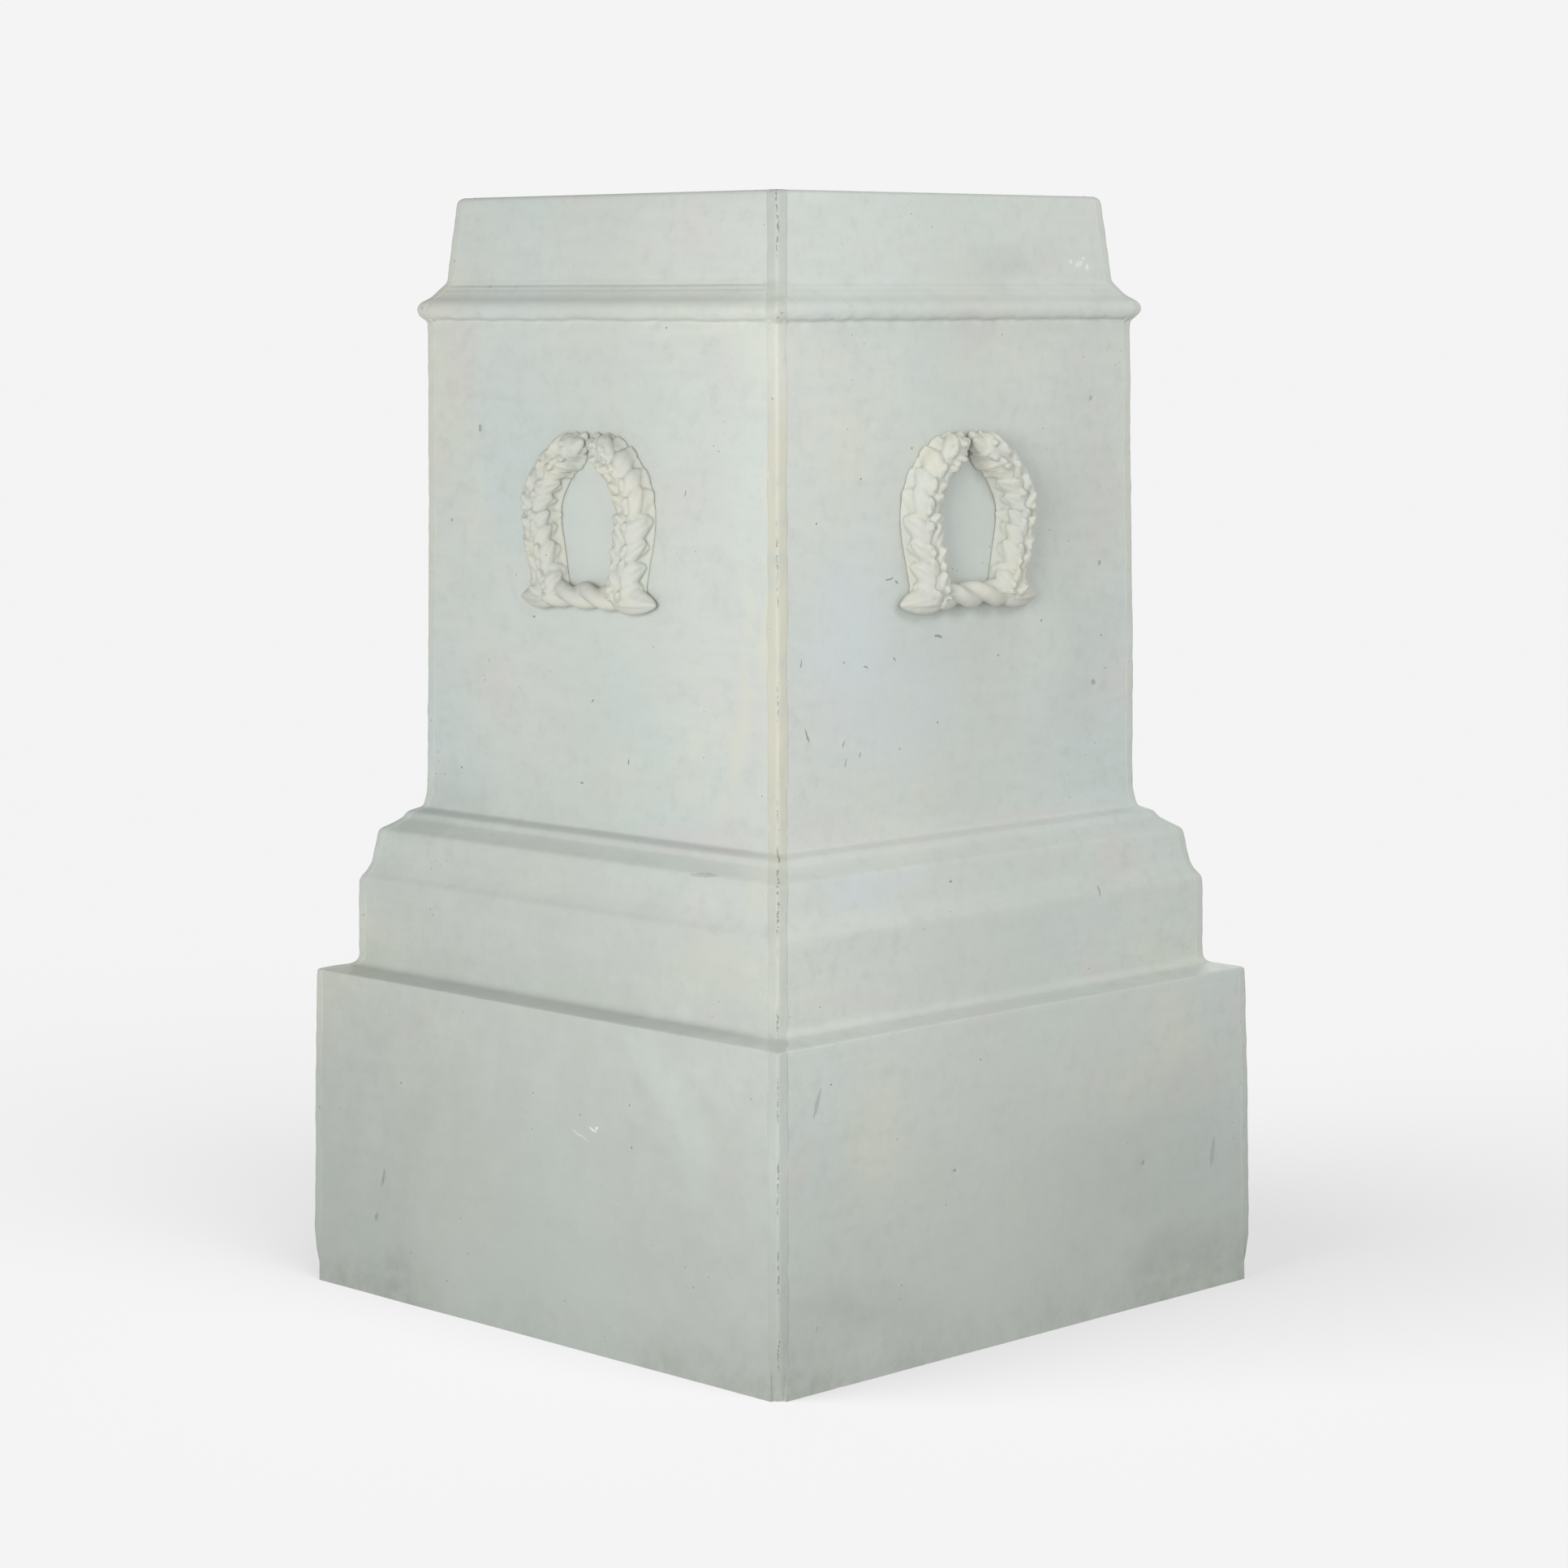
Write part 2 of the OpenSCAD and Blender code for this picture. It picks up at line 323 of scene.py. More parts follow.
def copy_of_node(node: str) -> Shape:
    """A merged copy of a CAD node's loose triangles."""
    shape = bmesh.new()
    shape.from_mesh(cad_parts[node].data)
    bmesh.ops.remove_doubles(shape, verts=shape.verts, dist=WELD * 10)
    return shape


# ---------------------------------------------------------------- materials


def add(tree: Tree, kind: str, inputs: dict | None = None, **settings: object) -> bpy.types.Node:
    """Adds one shader node with its settings, values and links.

    Args:
        tree: Node tree to add it to.
        kind: The node's type.
        inputs: For each input, by name or number, a value or the socket that feeds it.
        settings: Attributes of the node itself.

    Returns:
        The new node.
    """
    made = tree.nodes.new(kind)
    for key, value in settings.items():
        setattr(made, key, value)
    for key, value in (inputs or {}).items():
        if isinstance(value, Socket):
            tree.links.new(value, made.inputs[key])
        else:
            made.inputs[key].default_value = value
    return made


def ease(tree: Tree, value: Socket, low: float, high: float,
         start: float = 0.0, end: float = 1.0) -> Socket:
    """Eases a value from start at low to end at high."""
    limits = {0: value, 1: low, 2: high, 3: start, 4: end}
    return add(tree, "ShaderNodeMapRange", limits, interpolation_type="SMOOTHSTEP").outputs[0]


def math_of(tree: Tree, operation: str, *values: object) -> Socket:
    """Result of one arithmetic step on sockets or numbers."""
    return add(tree, "ShaderNodeMath", dict(enumerate(values)), operation=operation).outputs[0]


def tint(tree: Tree, share: object, below: object, above: object,
         blend: str = "MIX") -> Socket:
    """Lays one colour over another by a share."""
    layers = {0: share, 6: below, 7: above}
    return add(tree, "ShaderNodeMix", layers, data_type="RGBA", blend_type=blend).outputs[2]


def grain_of(tree: Tree, place: Socket, size_mm: float, detail: float = 2.0,
             rough: float = 0.5, seed: float = 0.0) -> Socket:
    """Cloudy noise whose patches are about the given size in millimetres."""
    spot = add(tree, "ShaderNodeVectorMath", {0: place, 1: (seed, seed * 1.7, seed * 0.6)}, operation="ADD")
    cloud = {"Vector": spot.outputs[0], "Scale": 1 / (size_mm * MM), "Detail": detail, "Roughness": rough}
    return add(tree, "ShaderNodeTexNoise", cloud).outputs[0]


def new_tree(name: str) -> tuple[Finish, Tree]:
    """An empty node material and its tree."""
    material = bpy.data.materials.new(name)
    material.use_nodes = True
    material.node_tree.nodes.clear()
    return material, material.node_tree


def close_tree(tree: Tree, colour: object, roughness: object, normal: object,
               metallic: float = 0.0, specular: float = 0.5) -> None:
    """Ends a tree in one shader and the output."""
    surface = add(tree, "ShaderNodeBsdfPrincipled", {"Base Color": colour, "Roughness": roughness,
                  "Normal": normal, "Metallic": metallic, "Specular IOR Level": specular})
    add(tree, "ShaderNodeOutputMaterial", {"Surface": surface.outputs[0]})


@dataclass(frozen=True)
class Mark:
    """A crack, pit or chip on a face: its place, half length and half width in mm, tilt in degrees."""

    across: float
    height: float
    half_length: float
    half_width: float
    tilt: float = 0.0
    pale: bool = False
    strength: float = 0.8


@dataclass(frozen=True)
class Wash:
    """A broad soft patch of another tone: its place, half length and half width in mm, tilt in degrees."""

    across: float
    height: float
    half_length: float
    half_width: float
    tone: str
    strength: float
    tilt: float = 0.0


@dataclass(frozen=True)
class PaintedPlaster:
    """Fine casting plaster, cast in a mould, rubbed down and brushed with matt oil-bound paint.

    The paint gives a chalky, almost shineless skin; the plaster under it shows as broad clouds of
    cooler and warmer tone and pinholes from air bubbles; painted shade darkens the pinholes and the lower
    parts.
    """

    name: str
    side: Side | None = None
    marks: tuple[Mark, ...] = ()
    washes: tuple[Wash, ...] = ()
    body: str = "#c9cec8"
    cool: str = "#c5cecb"
    warm: str = "#cfd1c5"
    rose: str = "#ccc9c6"
    # This tone draws the brush marks, and also painted shade away from the corners.
    edge: str = "#bec5be"
    # Dirt in small blotches and painted shade towards the floor; then painted shade at the foot.
    dirt_and_shade: str = "#a4aba3"
    foot_shade: str = "#8d958c"
    # Painted shade in pinholes, pits and cracks.
    pit: str = "#6f776f"
    chip: str = "#eeeee6"
    roughness: float = 0.78

    def tones(self, tree: Tree, place: Socket) -> Socket:
        """Broad clouds of cool, warm and rosy paint, with fainter brush marks.

        Args:
            tree: The material's tree.
            place: Object coordinates.

        Returns:
            The colour.
        """
        colour = tint(tree, ease(tree, grain_of(tree, place, 260, 1, seed=3), 0.45, 0.68), linear(self.body),
                      linear(self.cool))
        colour = tint(tree, ease(tree, grain_of(tree, place, 180, 2, seed=8), 0.5, 0.75), colour,
                      linear(self.warm))
        colour = tint(tree, ease(tree, grain_of(tree, place, 90, 2, seed=5), 0.52, 0.75, 0, 0.7), colour,
                      linear(self.rose))
        brushed = add(tree, "ShaderNodeMapping", {"Vector": place, "Scale": (1, 1, 5)})
        strokes = grain_of(tree, brushed.outputs[0], 60, 3, 0.6)
        colour = tint(tree, ease(tree, strokes, 0.35, 0.75, 0, 0.35), colour, linear(self.edge))
        blotches = grain_of(tree, place, 14, 3, 0.65, seed=2)
        return tint(tree, ease(tree, blotches, 0.45, 0.8, 0, 0.22), colour, linear(self.dirt_and_shade))

    def painted_shade(self, tree: Tree, place: Socket, colour: Socket) -> Socket:
        """Painted shade: darker over the plinth and more at its foot, and a duller tone towards the middle of
        each face.

        Args:
            tree: The material's tree.
            place: Object coordinates.
            colour: The clean colour.

        Returns:
            The soiled colour.
        """
        parts = add(tree, "ShaderNodeSeparateXYZ", {0: place}).outputs
        clouds = grain_of(tree, place, 120, 4, 0.6, seed=11)
        ragged = math_of(tree, "MULTIPLY_ADD", clouds, 0.16, -0.08)
        height = math_of(tree, "ADD", parts[2], ragged)
        # Painted shade, darkening towards the floor.
        colour = tint(tree, ease(tree, height, 0.34, 0.02, 0, 0.5), colour, linear(self.dirt_and_shade))
        # Painted shade again at the foot, in patches.
        foot = math_of(tree, "MULTIPLY", ease(tree, height, 0.07, -0.06, 0, 0.75),
                       ease(tree, grain_of(tree, place, 22, 4, 0.7, seed=4), 0.35, 0.7, 0.35, 1))
        colour = tint(tree, foot, colour, linear(self.foot_shade))
        # Painted shade in the brush-mark tone, away from the corners towards the middle of each face.
        gap = math_of(tree, "ABSOLUTE", math_of(tree, "SUBTRACT", math_of(tree, "ABSOLUTE", parts[0]),
                                                math_of(tree, "ABSOLUTE", parts[1])))
        away = ease(tree, math_of(tree, "ADD", gap, ragged), 0.10, 0.24, 0, 0.35)
        return tint(tree, away, colour, linear(self.edge))

    def pinholes(self, tree: Tree, place: Socket) -> Socket:
        """Sparse round air holes, a millimetre or so across, single and in groups."""
        wide = add(tree, "ShaderNodeTexVoronoi", {"Vector": place, "Scale": 1 / (34 * MM)})
        fine = add(tree, "ShaderNodeTexVoronoi", {"Vector": place, "Scale": 1 / (9 * MM)})
        chance = add(tree, "ShaderNodeSeparateXYZ", {0: wide.outputs[1]}).outputs[0]
        chosen = math_of(tree, "GREATER_THAN", chance, 0.6)
        groups = ease(tree, grain_of(tree, place, 60, 1, seed=6), 0.62, 0.68)
        holes = math_of(tree, "MULTIPLY", ease(tree, wide.outputs[0], 0.030, 0.020), chosen)
        specks = math_of(tree, "MULTIPLY", ease(tree, fine.outputs[0], 0.075, 0.05), groups)
        return math_of(tree, "MAXIMUM", holes, specks)

    def on_face(self, tree: Tree, place: Socket, wobble_mm: float, reach_mm: float) -> tuple[Socket, Socket]:
        """Place across and up this face, shaken a little, and a mask of where the face is.

        Args:
            tree: The material's tree.
            place: Object coordinates.
            wobble_mm: Size of the shaking's waves.
            reach_mm: How far the shaking goes.

        Returns:
            The place and the mask.
        """
        turn = (0, 0, -math.pi / 2 * self.side.value)
        turned = add(tree, "ShaderNodeMapping", {"Vector": place, "Rotation": turn})
        parts = add(tree, "ShaderNodeSeparateXYZ", {0: turned.outputs[0]}).outputs
        waves = {"Vector": place, "Scale": 1 / (wobble_mm * MM), "Detail": 2.0}
        wobble = add(tree, "ShaderNodeTexNoise", waves).outputs[1]
        middle = {0: wobble, 1: (0.5, 0.5, 0.5)}
        shift = add(tree, "ShaderNodeVectorMath", middle, operation="SUBTRACT").outputs[0]
        reach = {0: shift, "Scale": reach_mm * MM}
        shift = add(tree, "ShaderNodeVectorMath", reach, operation="SCALE").outputs[0]
        flat = add(tree, "ShaderNodeCombineXYZ", {0: parts[0], 1: parts[2]}).outputs[0]
        spot = add(tree, "ShaderNodeVectorMath", {0: flat, 1: shift}, operation="ADD").outputs[0]
        return spot, ease(tree, parts[1], -0.15, -0.18)

    @staticmethod
    def away_from(tree: Tree, spot: Socket, mark: Mark | Wash) -> Socket:
        """Distance from a mark's middle, which is 1 at its rim."""
        layout = {
            "Vector": spot,
            "Location": (mark.across * MM, mark.height * MM, 0),
            "Rotation": (0, 0, math.radians(mark.tilt)),
            "Scale": (mark.half_length * MM, mark.half_width * MM, 1.0),
        }
        local = add(tree, "ShaderNodeMapping", layout, vector_type="TEXTURE")
        flat = add(tree, "ShaderNodeVectorMath", {0: local.outputs[0], 1: (1, 1, 0)}, operation="MULTIPLY")
        return add(tree, "ShaderNodeVectorMath", {0: flat.outputs[0]}, operation="LENGTH").outputs["Value"]

    def placed_marks(self, tree: Tree, place: Socket, pale: bool) -> Socket | None:
        """Mask of this face's own cracks and pits, or of its pale chips.

        Args:
            tree: The material's tree.
            place: Object coordinates.
            pale: Whether the chips are wanted, and not the pits.

        Returns:
            The mask, or None where the face has no such mark.
        """
        wanted = [mark for mark in self.marks if mark.pale == pale]
        if not wanted:
            return None
        spot, front = self.on_face(tree, place, 5, 3.2)
        mask = None
        for mark in wanted:
            found = ease(tree, self.away_from(tree, spot, mark), 1.15, 0.75, 0, mark.strength)
            mask = found if mask is None else math_of(tree, "MAXIMUM", mask, found)
        return math_of(tree, "MULTIPLY", mask, front)

    def washed(self, tree: Tree, place: Socket, colour: Socket) -> Socket:
        """Lays this face's broad patches over its colour."""
        if not self.washes:
            return colour
        spot, front = self.on_face(tree, place, 70, 60)
        patchy = ease(tree, grain_of(tree, place, 40, 4, 0.65, seed=9), 0.25, 0.65, 0.45, 1)
        front = math_of(tree, "MULTIPLY", front, patchy)
        for wash in self.washes:
            share = ease(tree, self.away_from(tree, spot, wash), 1.25, 0.2, 0, wash.strength)
            colour = tint(tree, math_of(tree, "MULTIPLY", share, front), colour, linear(wash.tone))
        return colour

    def relief(self, tree: Tree, place: Socket, holes: Socket) -> Socket:
        """Bump of brush marks, cast grain and holes.

        Args:
            tree: The material's tree.
            place: Object coordinates.
            holes: Mask of holes and cracks.

        Returns:
            The bent normal.
        """
        # The real grain is about 0.4 mm; it is drawn at 2 mm so that it shows at all.
        grain = grain_of(tree, place, 2.0, 3, 0.6)
        hollows = grain_of(tree, place, 9.0, 3, 0.55, seed=7)
        height = math_of(tree, "MULTIPLY_ADD", hollows, 2.2, grain)
        skin = add(tree, "ShaderNodeBump", {"Strength": 0.35, "Distance": 0.35 * MM, "Height": height})
        sunk = math_of(tree, "SUBTRACT", 1.0, holes)
        return add(tree, "ShaderNodeBump", {"Strength": 0.8, "Distance": 0.8 * MM, "Height": sunk,
                   "Normal": skin.outputs[0]}).outputs[0]

    def build(self) -> Finish:
        """Makes the material."""
        material, tree = new_tree(self.name)
        place = add(tree, "ShaderNodeTexCoord").outputs["Object"]
        colour = self.painted_shade(tree, place, self.washed(tree, place, self.tones(tree, place)))
        holes = self.pinholes(tree, place)
        dark = self.placed_marks(tree, place, pale=False)
        if dark is not None:
            holes = math_of(tree, "MAXIMUM", holes, dark)
        # Painted shade in the holes, pits and cracks.
        colour = tint(tree, math_of(tree, "MULTIPLY", holes, 0.75), colour, linear(self.pit))
        chips = self.placed_marks(tree, place, pale=True)
        if chips is not None:
            colour = tint(tree, chips, colour, linear(self.chip))
        normal = self.relief(tree, place, holes)
        close_tree(tree, colour, self.roughness, normal, specular=0.3)
        return material


@dataclass(frozen=True)
class WreathPlaster:
    """Cast plaster ornament under several coats of matt paint, a little whiter and warmer.

    The coats fill the hollows between leaves and soften every edge; cool shade gathers in the hollows.
    """

    name: str = "wreath_plaster"
    body: str = "#c6c8c0"
    warm: str = "#cbcabc"
    hollow: str = "#a6b1a7"
    pit: str = "#7c827a"
    roughness: float = 0.75

    def build(self) -> Finish:
        """Makes the material."""
        material, tree = new_tree(self.name)
        place = add(tree, "ShaderNodeTexCoord").outputs["Object"]
        creamy = ease(tree, grain_of(tree, place, 40, 3, 0.6, seed=2), 0.42, 0.7)
        colour = tint(tree, creamy, linear(self.body), linear(self.warm))
        pointed = add(tree, "ShaderNodeNewGeometry").outputs["Pointiness"]
        colour = tint(tree, ease(tree, pointed, 0.5, 0.45, 0, 0.6), colour, linear(self.hollow))
        specks = add(tree, "ShaderNodeTexVoronoi", {"Vector": place, "Scale": 1 / (9 * MM)})
        groups = ease(tree, grain_of(tree, place, 30, 1, seed=6), 0.55, 0.62)
        holes = math_of(tree, "MULTIPLY", ease(tree, specks.outputs["Distance"], 0.085, 0.06), groups)
        # Painted shade in the pinholes.
        colour = tint(tree, math_of(tree, "MULTIPLY", holes, 0.7), colour, linear(self.pit))
        height = math_of(tree, "SUBTRACT", grain_of(tree, place, 2.2, 3, 0.6), holes)
        skin = add(tree, "ShaderNodeBump", {"Strength": 0.35, "Distance": 0.4 * MM, "Height": height})
        close_tree(tree, colour, self.roughness, skin.outputs[0], specular=0.3)
        return material


@dataclass(frozen=True)
class CornerStopping(PaintedPlaster):
    """Plaster stopping pressed into the mitre joint, rubbed down, and painted with the panels.

    It shrinks to a hairline crack down its middle with pits beside it; where size has come through
    it yellows, and beside the torus it has broken up and been patched.
    """

    stained: float = 0.0
    # A little darker than the panels: painted shade on the rounded corner, which takes the key light square.
    body: str = "#c6cbc4"
    stain: str = "#cbc9b8"
    crack: str = "#6c726a"
    patched: tuple[float, float] = (0.878, 0.916)

    def broken(self, tree: Tree, place: Socket, parts: bpy.types.NodeOutputs) -> Socket:
        """Mask of the hairline, and of the pits beside it.

        Args:
            tree: The material's tree.
            place: Object coordinates.
            parts: The same, as separate values.

        Returns:
            The mask.
        """
        across = math_of(tree, "MULTIPLY", math_of(tree, "SUBTRACT", math_of(tree, "ABSOLUTE", parts[0]),
                         math_of(tree, "ABSOLUTE", parts[1])), 1 / math.sqrt(2))
        # The hairline is about 0.2 mm wide; it is drawn at 0.5 mm so that it shows.
        wander = math_of(tree, "MULTIPLY_ADD", grain_of(tree, place, 18, 5, 0.75, seed=2), 8 * MM, -4 * MM)
        off = math_of(tree, "ABSOLUTE", math_of(tree, "ADD", across, wander))
        here = ease(tree, grain_of(tree, place, 60, 2, 0.6, seed=12), 0.46, 0.6)
        dotted = ease(tree, grain_of(tree, place, 3.5, 2, 0.6), 0.42, 0.56)
        dashes = math_of(tree, "MULTIPLY", here, dotted)
        line = math_of(tree, "MULTIPLY", ease(tree, off, 0.8 * MM, 0.2 * MM), dashes)
        pits = add(tree, "ShaderNodeTexVoronoi", {"Vector": place, "Scale": 1 / (6 * MM)})
        some = ease(tree, grain_of(tree, place, 28, 2, 0.6, seed=14), 0.6, 0.68)
        low, high = self.patched
        patch = math_of(tree, "MULTIPLY", ease(tree, parts[2], low, low + 0.008),
                        ease(tree, parts[2], high, high - 0.008))
        crumbled = ease(tree, grain_of(tree, place, 6, 2, 0.6, seed=4), 0.5, 0.56)
        patch = math_of(tree, "MULTIPLY", patch, crumbled)
        where = math_of(tree, "MAXIMUM", math_of(tree, "MULTIPLY", some, 0.7), patch)
        pitted = math_of(tree, "MULTIPLY", ease(tree, pits.outputs[0], 0.2, 0.1), where)
        return math_of(tree, "MAXIMUM", line, pitted)

    def build(self) -> Finish:
        """Makes the material."""
        material, tree = new_tree(self.name)
        place = add(tree, "ShaderNodeTexCoord").outputs["Object"]
        parts = add(tree, "ShaderNodeSeparateXYZ", {0: place}).outputs
        colour = self.tones(tree, place)
        band = math_of(tree, "MULTIPLY", ease(tree, parts[2], 0.30, 0.56), ease(tree, parts[2], 0.86, 0.78))
        clouds = grain_of(tree, place, 50, 3, 0.6, seed=9)
        patchy = ease(tree, clouds, 0.3, 0.55, 0.3 * self.stained, self.stained)
        colour = tint(tree, math_of(tree, "MULTIPLY", band, patchy), colour, linear(self.stain))
        colour = self.painted_shade(tree, place, colour)
        broken = self.broken(tree, place, parts)
        # The hairline's own dark line, and painted shade in the pits beside it.
        colour = tint(tree, math_of(tree, "MULTIPLY", broken, 0.6), colour, linear(self.crack))
        skin = add(tree, "ShaderNodeBump", {"Strength": 0.4, "Distance": 0.5 * MM,
                   "Height": grain_of(tree, place, 3.0, 4, 0.6)})
        sunk = add(tree, "ShaderNodeBump", {"Strength": 0.9, "Distance": 0.8 * MM,
                   "Height": math_of(tree, "SUBTRACT", 1.0, broken), "Normal": skin.outputs[0]})
        close_tree(tree, colour, self.roughness, sunk.outputs[0], specular=0.3)
        return material


@dataclass(frozen=True)
class RawPlaster:
    """Casting plaster and jute scrim laid by hand and left unpainted: rough, chalky, a few fibres showing."""

    name: str = "raw_plaster"
    body: str = "#ddd8cb"
    damp: str = "#c9c1ae"
    fibre: str = "#b39c72"
    roughness: float = 0.92

    def build(self) -> Finish:
        """Makes the material."""
        material, tree = new_tree(self.name)
        place = add(tree, "ShaderNodeTexCoord").outputs["Object"]
        colour = tint(tree, ease(tree, grain_of(tree, place, 35, 4, 0.65), 0.4, 0.7), linear(self.body),
                      linear(self.damp))
        crossed = [add(tree, "ShaderNodeTexWave", {"Vector": place, "Scale": 1 / (9 * MM) / math.tau * 2,
                   "Distortion": 6.0, "Detail": 2.0}, bands_direction=axis).outputs[1] for axis in ("X", "Z")]
        mesh_of_jute = math_of(tree, "MAXIMUM", *[ease(tree, wave, 0.93, 1.0) for wave in crossed])
        shows = ease(tree, grain_of(tree, place, 50, 2, seed=3), 0.5, 0.62, 0, 0.6)
        colour = tint(tree, math_of(tree, "MULTIPLY", mesh_of_jute, shows), colour, linear(self.fibre))
        raised = math_of(tree, "MULTIPLY", mesh_of_jute, 0.3)
        lumps = math_of(tree, "ADD", grain_of(tree, place, 6, 4, 0.7), raised)
        skin = add(tree, "ShaderNodeBump", {"Strength": 0.7, "Distance": 1.5 * MM, "Height": lumps})
        close_tree(tree, colour, self.roughness, skin.outputs[0], specular=0.2)
        return material


@dataclass(frozen=True)
class Softwood:
    """Planed redwood pine: straight growth lines along the grain, a few knots, and a dusting of plaster."""

    grain: Grain
    pale: str = "#d0aa76"
    late: str = "#b78549"
    knot: str = "#6b4424"
    dust: str = "#d9d3c4"
    ring_mm: float = 5.0
    knot_mm: float = 190.0
    roughness: float = 0.62

    def build(self) -> Finish:
        """Makes the material."""
        material, tree = new_tree(f"softwood_grain_{self.grain.name.lower()}")
        place = add(tree, "ShaderNodeTexCoord").outputs["Object"]
        along = add(tree, "ShaderNodeMapping", {"Vector": place, "Rotation": self.grain.value}).outputs[0]
        drawn = add(tree, "ShaderNodeMapping", {"Vector": along, "Scale": (1, 1, 0.06)}).outputs[0]
        rings = add(tree, "ShaderNodeTexWave", {"Vector": drawn, "Scale": 1 / (self.ring_mm * MM) / math.tau,
                    "Distortion": 5.0, "Detail": 3.0, "Detail Scale": 0.7}, bands_direction="X").outputs[1]
        fibres = grain_of(tree, drawn, 1.5, 3, 0.6)
        colour = tint(tree, ease(tree, rings, 0.35, 0.95), linear(self.pale), linear(self.late))
        colour = tint(tree, math_of(tree, "MULTIPLY", fibres, 0.25), colour, linear(self.late))
        spaced = {"Vector": along, "Scale": 1 / (self.knot_mm * MM)}
        knots = add(tree, "ShaderNodeTexVoronoi", spaced).outputs["Distance"]
        colour = tint(tree, ease(tree, knots, 0.09, 0.05, 0, 0.85), colour, linear(self.knot))
        dusty = ease(tree, grain_of(tree, place, 60, 4, 0.7, seed=3), 0.52, 0.75, 0, 0.6)
        colour = tint(tree, dusty, colour, linear(self.dust))
        skin = add(tree, "ShaderNodeBump", {"Strength": 0.3, "Distance": 0.3 * MM, "Height": fibres})
        close_tree(tree, colour, self.roughness, skin.outputs[0])
        return material


@dataclass(frozen=True)
class Plywood:
    """Sanded softwood plywood: one veneer figure on its faces and thin crossed plies along its edges."""

    top: float
    name: str = "plywood"
    face: str = "#cfae7d"
    figure: str = "#b58c57"
    end_ply: str = "#8f6638"
    ply_mm: float = 2.6
    roughness: float = 0.6

    def build(self) -> Finish:
        """Makes the material."""
        material, tree = new_tree(self.name)
        place = add(tree, "ShaderNodeTexCoord").outputs["Object"]
        parts = add(tree, "ShaderNodeSeparateXYZ", {0: place}).outputs
        drawn = add(tree, "ShaderNodeMapping", {"Vector": place, "Scale": (0.12, 1, 1)}).outputs[0]
        figure = ease(tree, grain_of(tree, drawn, 14, 4, 0.6), 0.4, 0.65)
        veneer = tint(tree, figure, linear(self.face), linear(self.figure))
        depth = math_of(tree, "SUBTRACT", self.top, parts[2])
        layer = math_of(tree, "FRACT", math_of(tree, "DIVIDE", depth, 2 * self.ply_mm * MM))
        plies = math_of(tree, "GREATER_THAN", layer, 0.5)
        edge = tint(tree, plies, linear(self.face), linear(self.end_ply))
        facing = add(tree, "ShaderNodeNewGeometry").outputs["Normal"]
        upright = math_of(tree, "ABSOLUTE", add(tree, "ShaderNodeSeparateXYZ", {0: facing}).outputs[2])
        colour = tint(tree, ease(tree, upright, 0.4, 0.6), edge, veneer)
        skin = add(tree, "ShaderNodeBump", {"Strength": 0.25, "Distance": 0.3 * MM,
                   "Height": grain_of(tree, drawn, 2, 3, 0.6)})
        close_tree(tree, colour, self.roughness, skin.outputs[0])
        return material


@dataclass(frozen=True)
class PlatedSteel:
    """Yellow zinc-plated steel: a thin yellowed coat over bright metal, dulled in patches by plaster."""

    name: str = "zinc_plated_steel"
    bright: str = "#d9c27a"
    shade: str = "#b3a06a"
    roughness: float = 0.34

    def build(self) -> Finish:
        """Makes the material."""
        material, tree = new_tree(self.name)
        place = add(tree, "ShaderNodeTexCoord").outputs["Object"]
        clouds = grain_of(tree, place, 4, 3, 0.6)
        colour = tint(tree, ease(tree, clouds, 0.4, 0.65), linear(self.bright), linear(self.shade))
        rough = ease(tree, clouds, 0.3, 0.8, self.roughness, self.roughness + 0.2)
        skin = add(tree, "ShaderNodeBump", {"Strength": 0.15, "Distance": 0.1 * MM,
                   "Height": grain_of(tree, place, 1, 2)})
        close_tree(tree, colour, rough, skin.outputs[0], metallic=1.0)
        return material


@dataclass(frozen=True)
class StudioSweep:
    """Matt white acrylic lit through from below, so that shadows on it stay faint."""

    name: str = "studio_sweep"
    glow: float = 0.431
    skin: str = "#959595"

    def build(self) -> Finish:
        """Makes the material."""
        material, tree = new_tree(self.name)
        lit = {
            "Base Color": linear(self.skin),
            "Roughness": 1.0,
            "Specular IOR Level": 0.0,
            "Emission Color": (1, 1, 1, 1),
            "Emission Strength": self.glow,
        }
        surface = add(tree, "ShaderNodeBsdfPrincipled", lit)
        add(tree, "ShaderNodeOutputMaterial", {"Surface": surface.outputs[0]})
        return material


# ---------------------------------------------------------------- the section of the faces


@dataclass(frozen=True)
class Row:
    """One station of the section: its crisp point, its point where it is rubbed soft, and its normal."""

    crisp: Vector
    soft: Vector
    normal: Vector


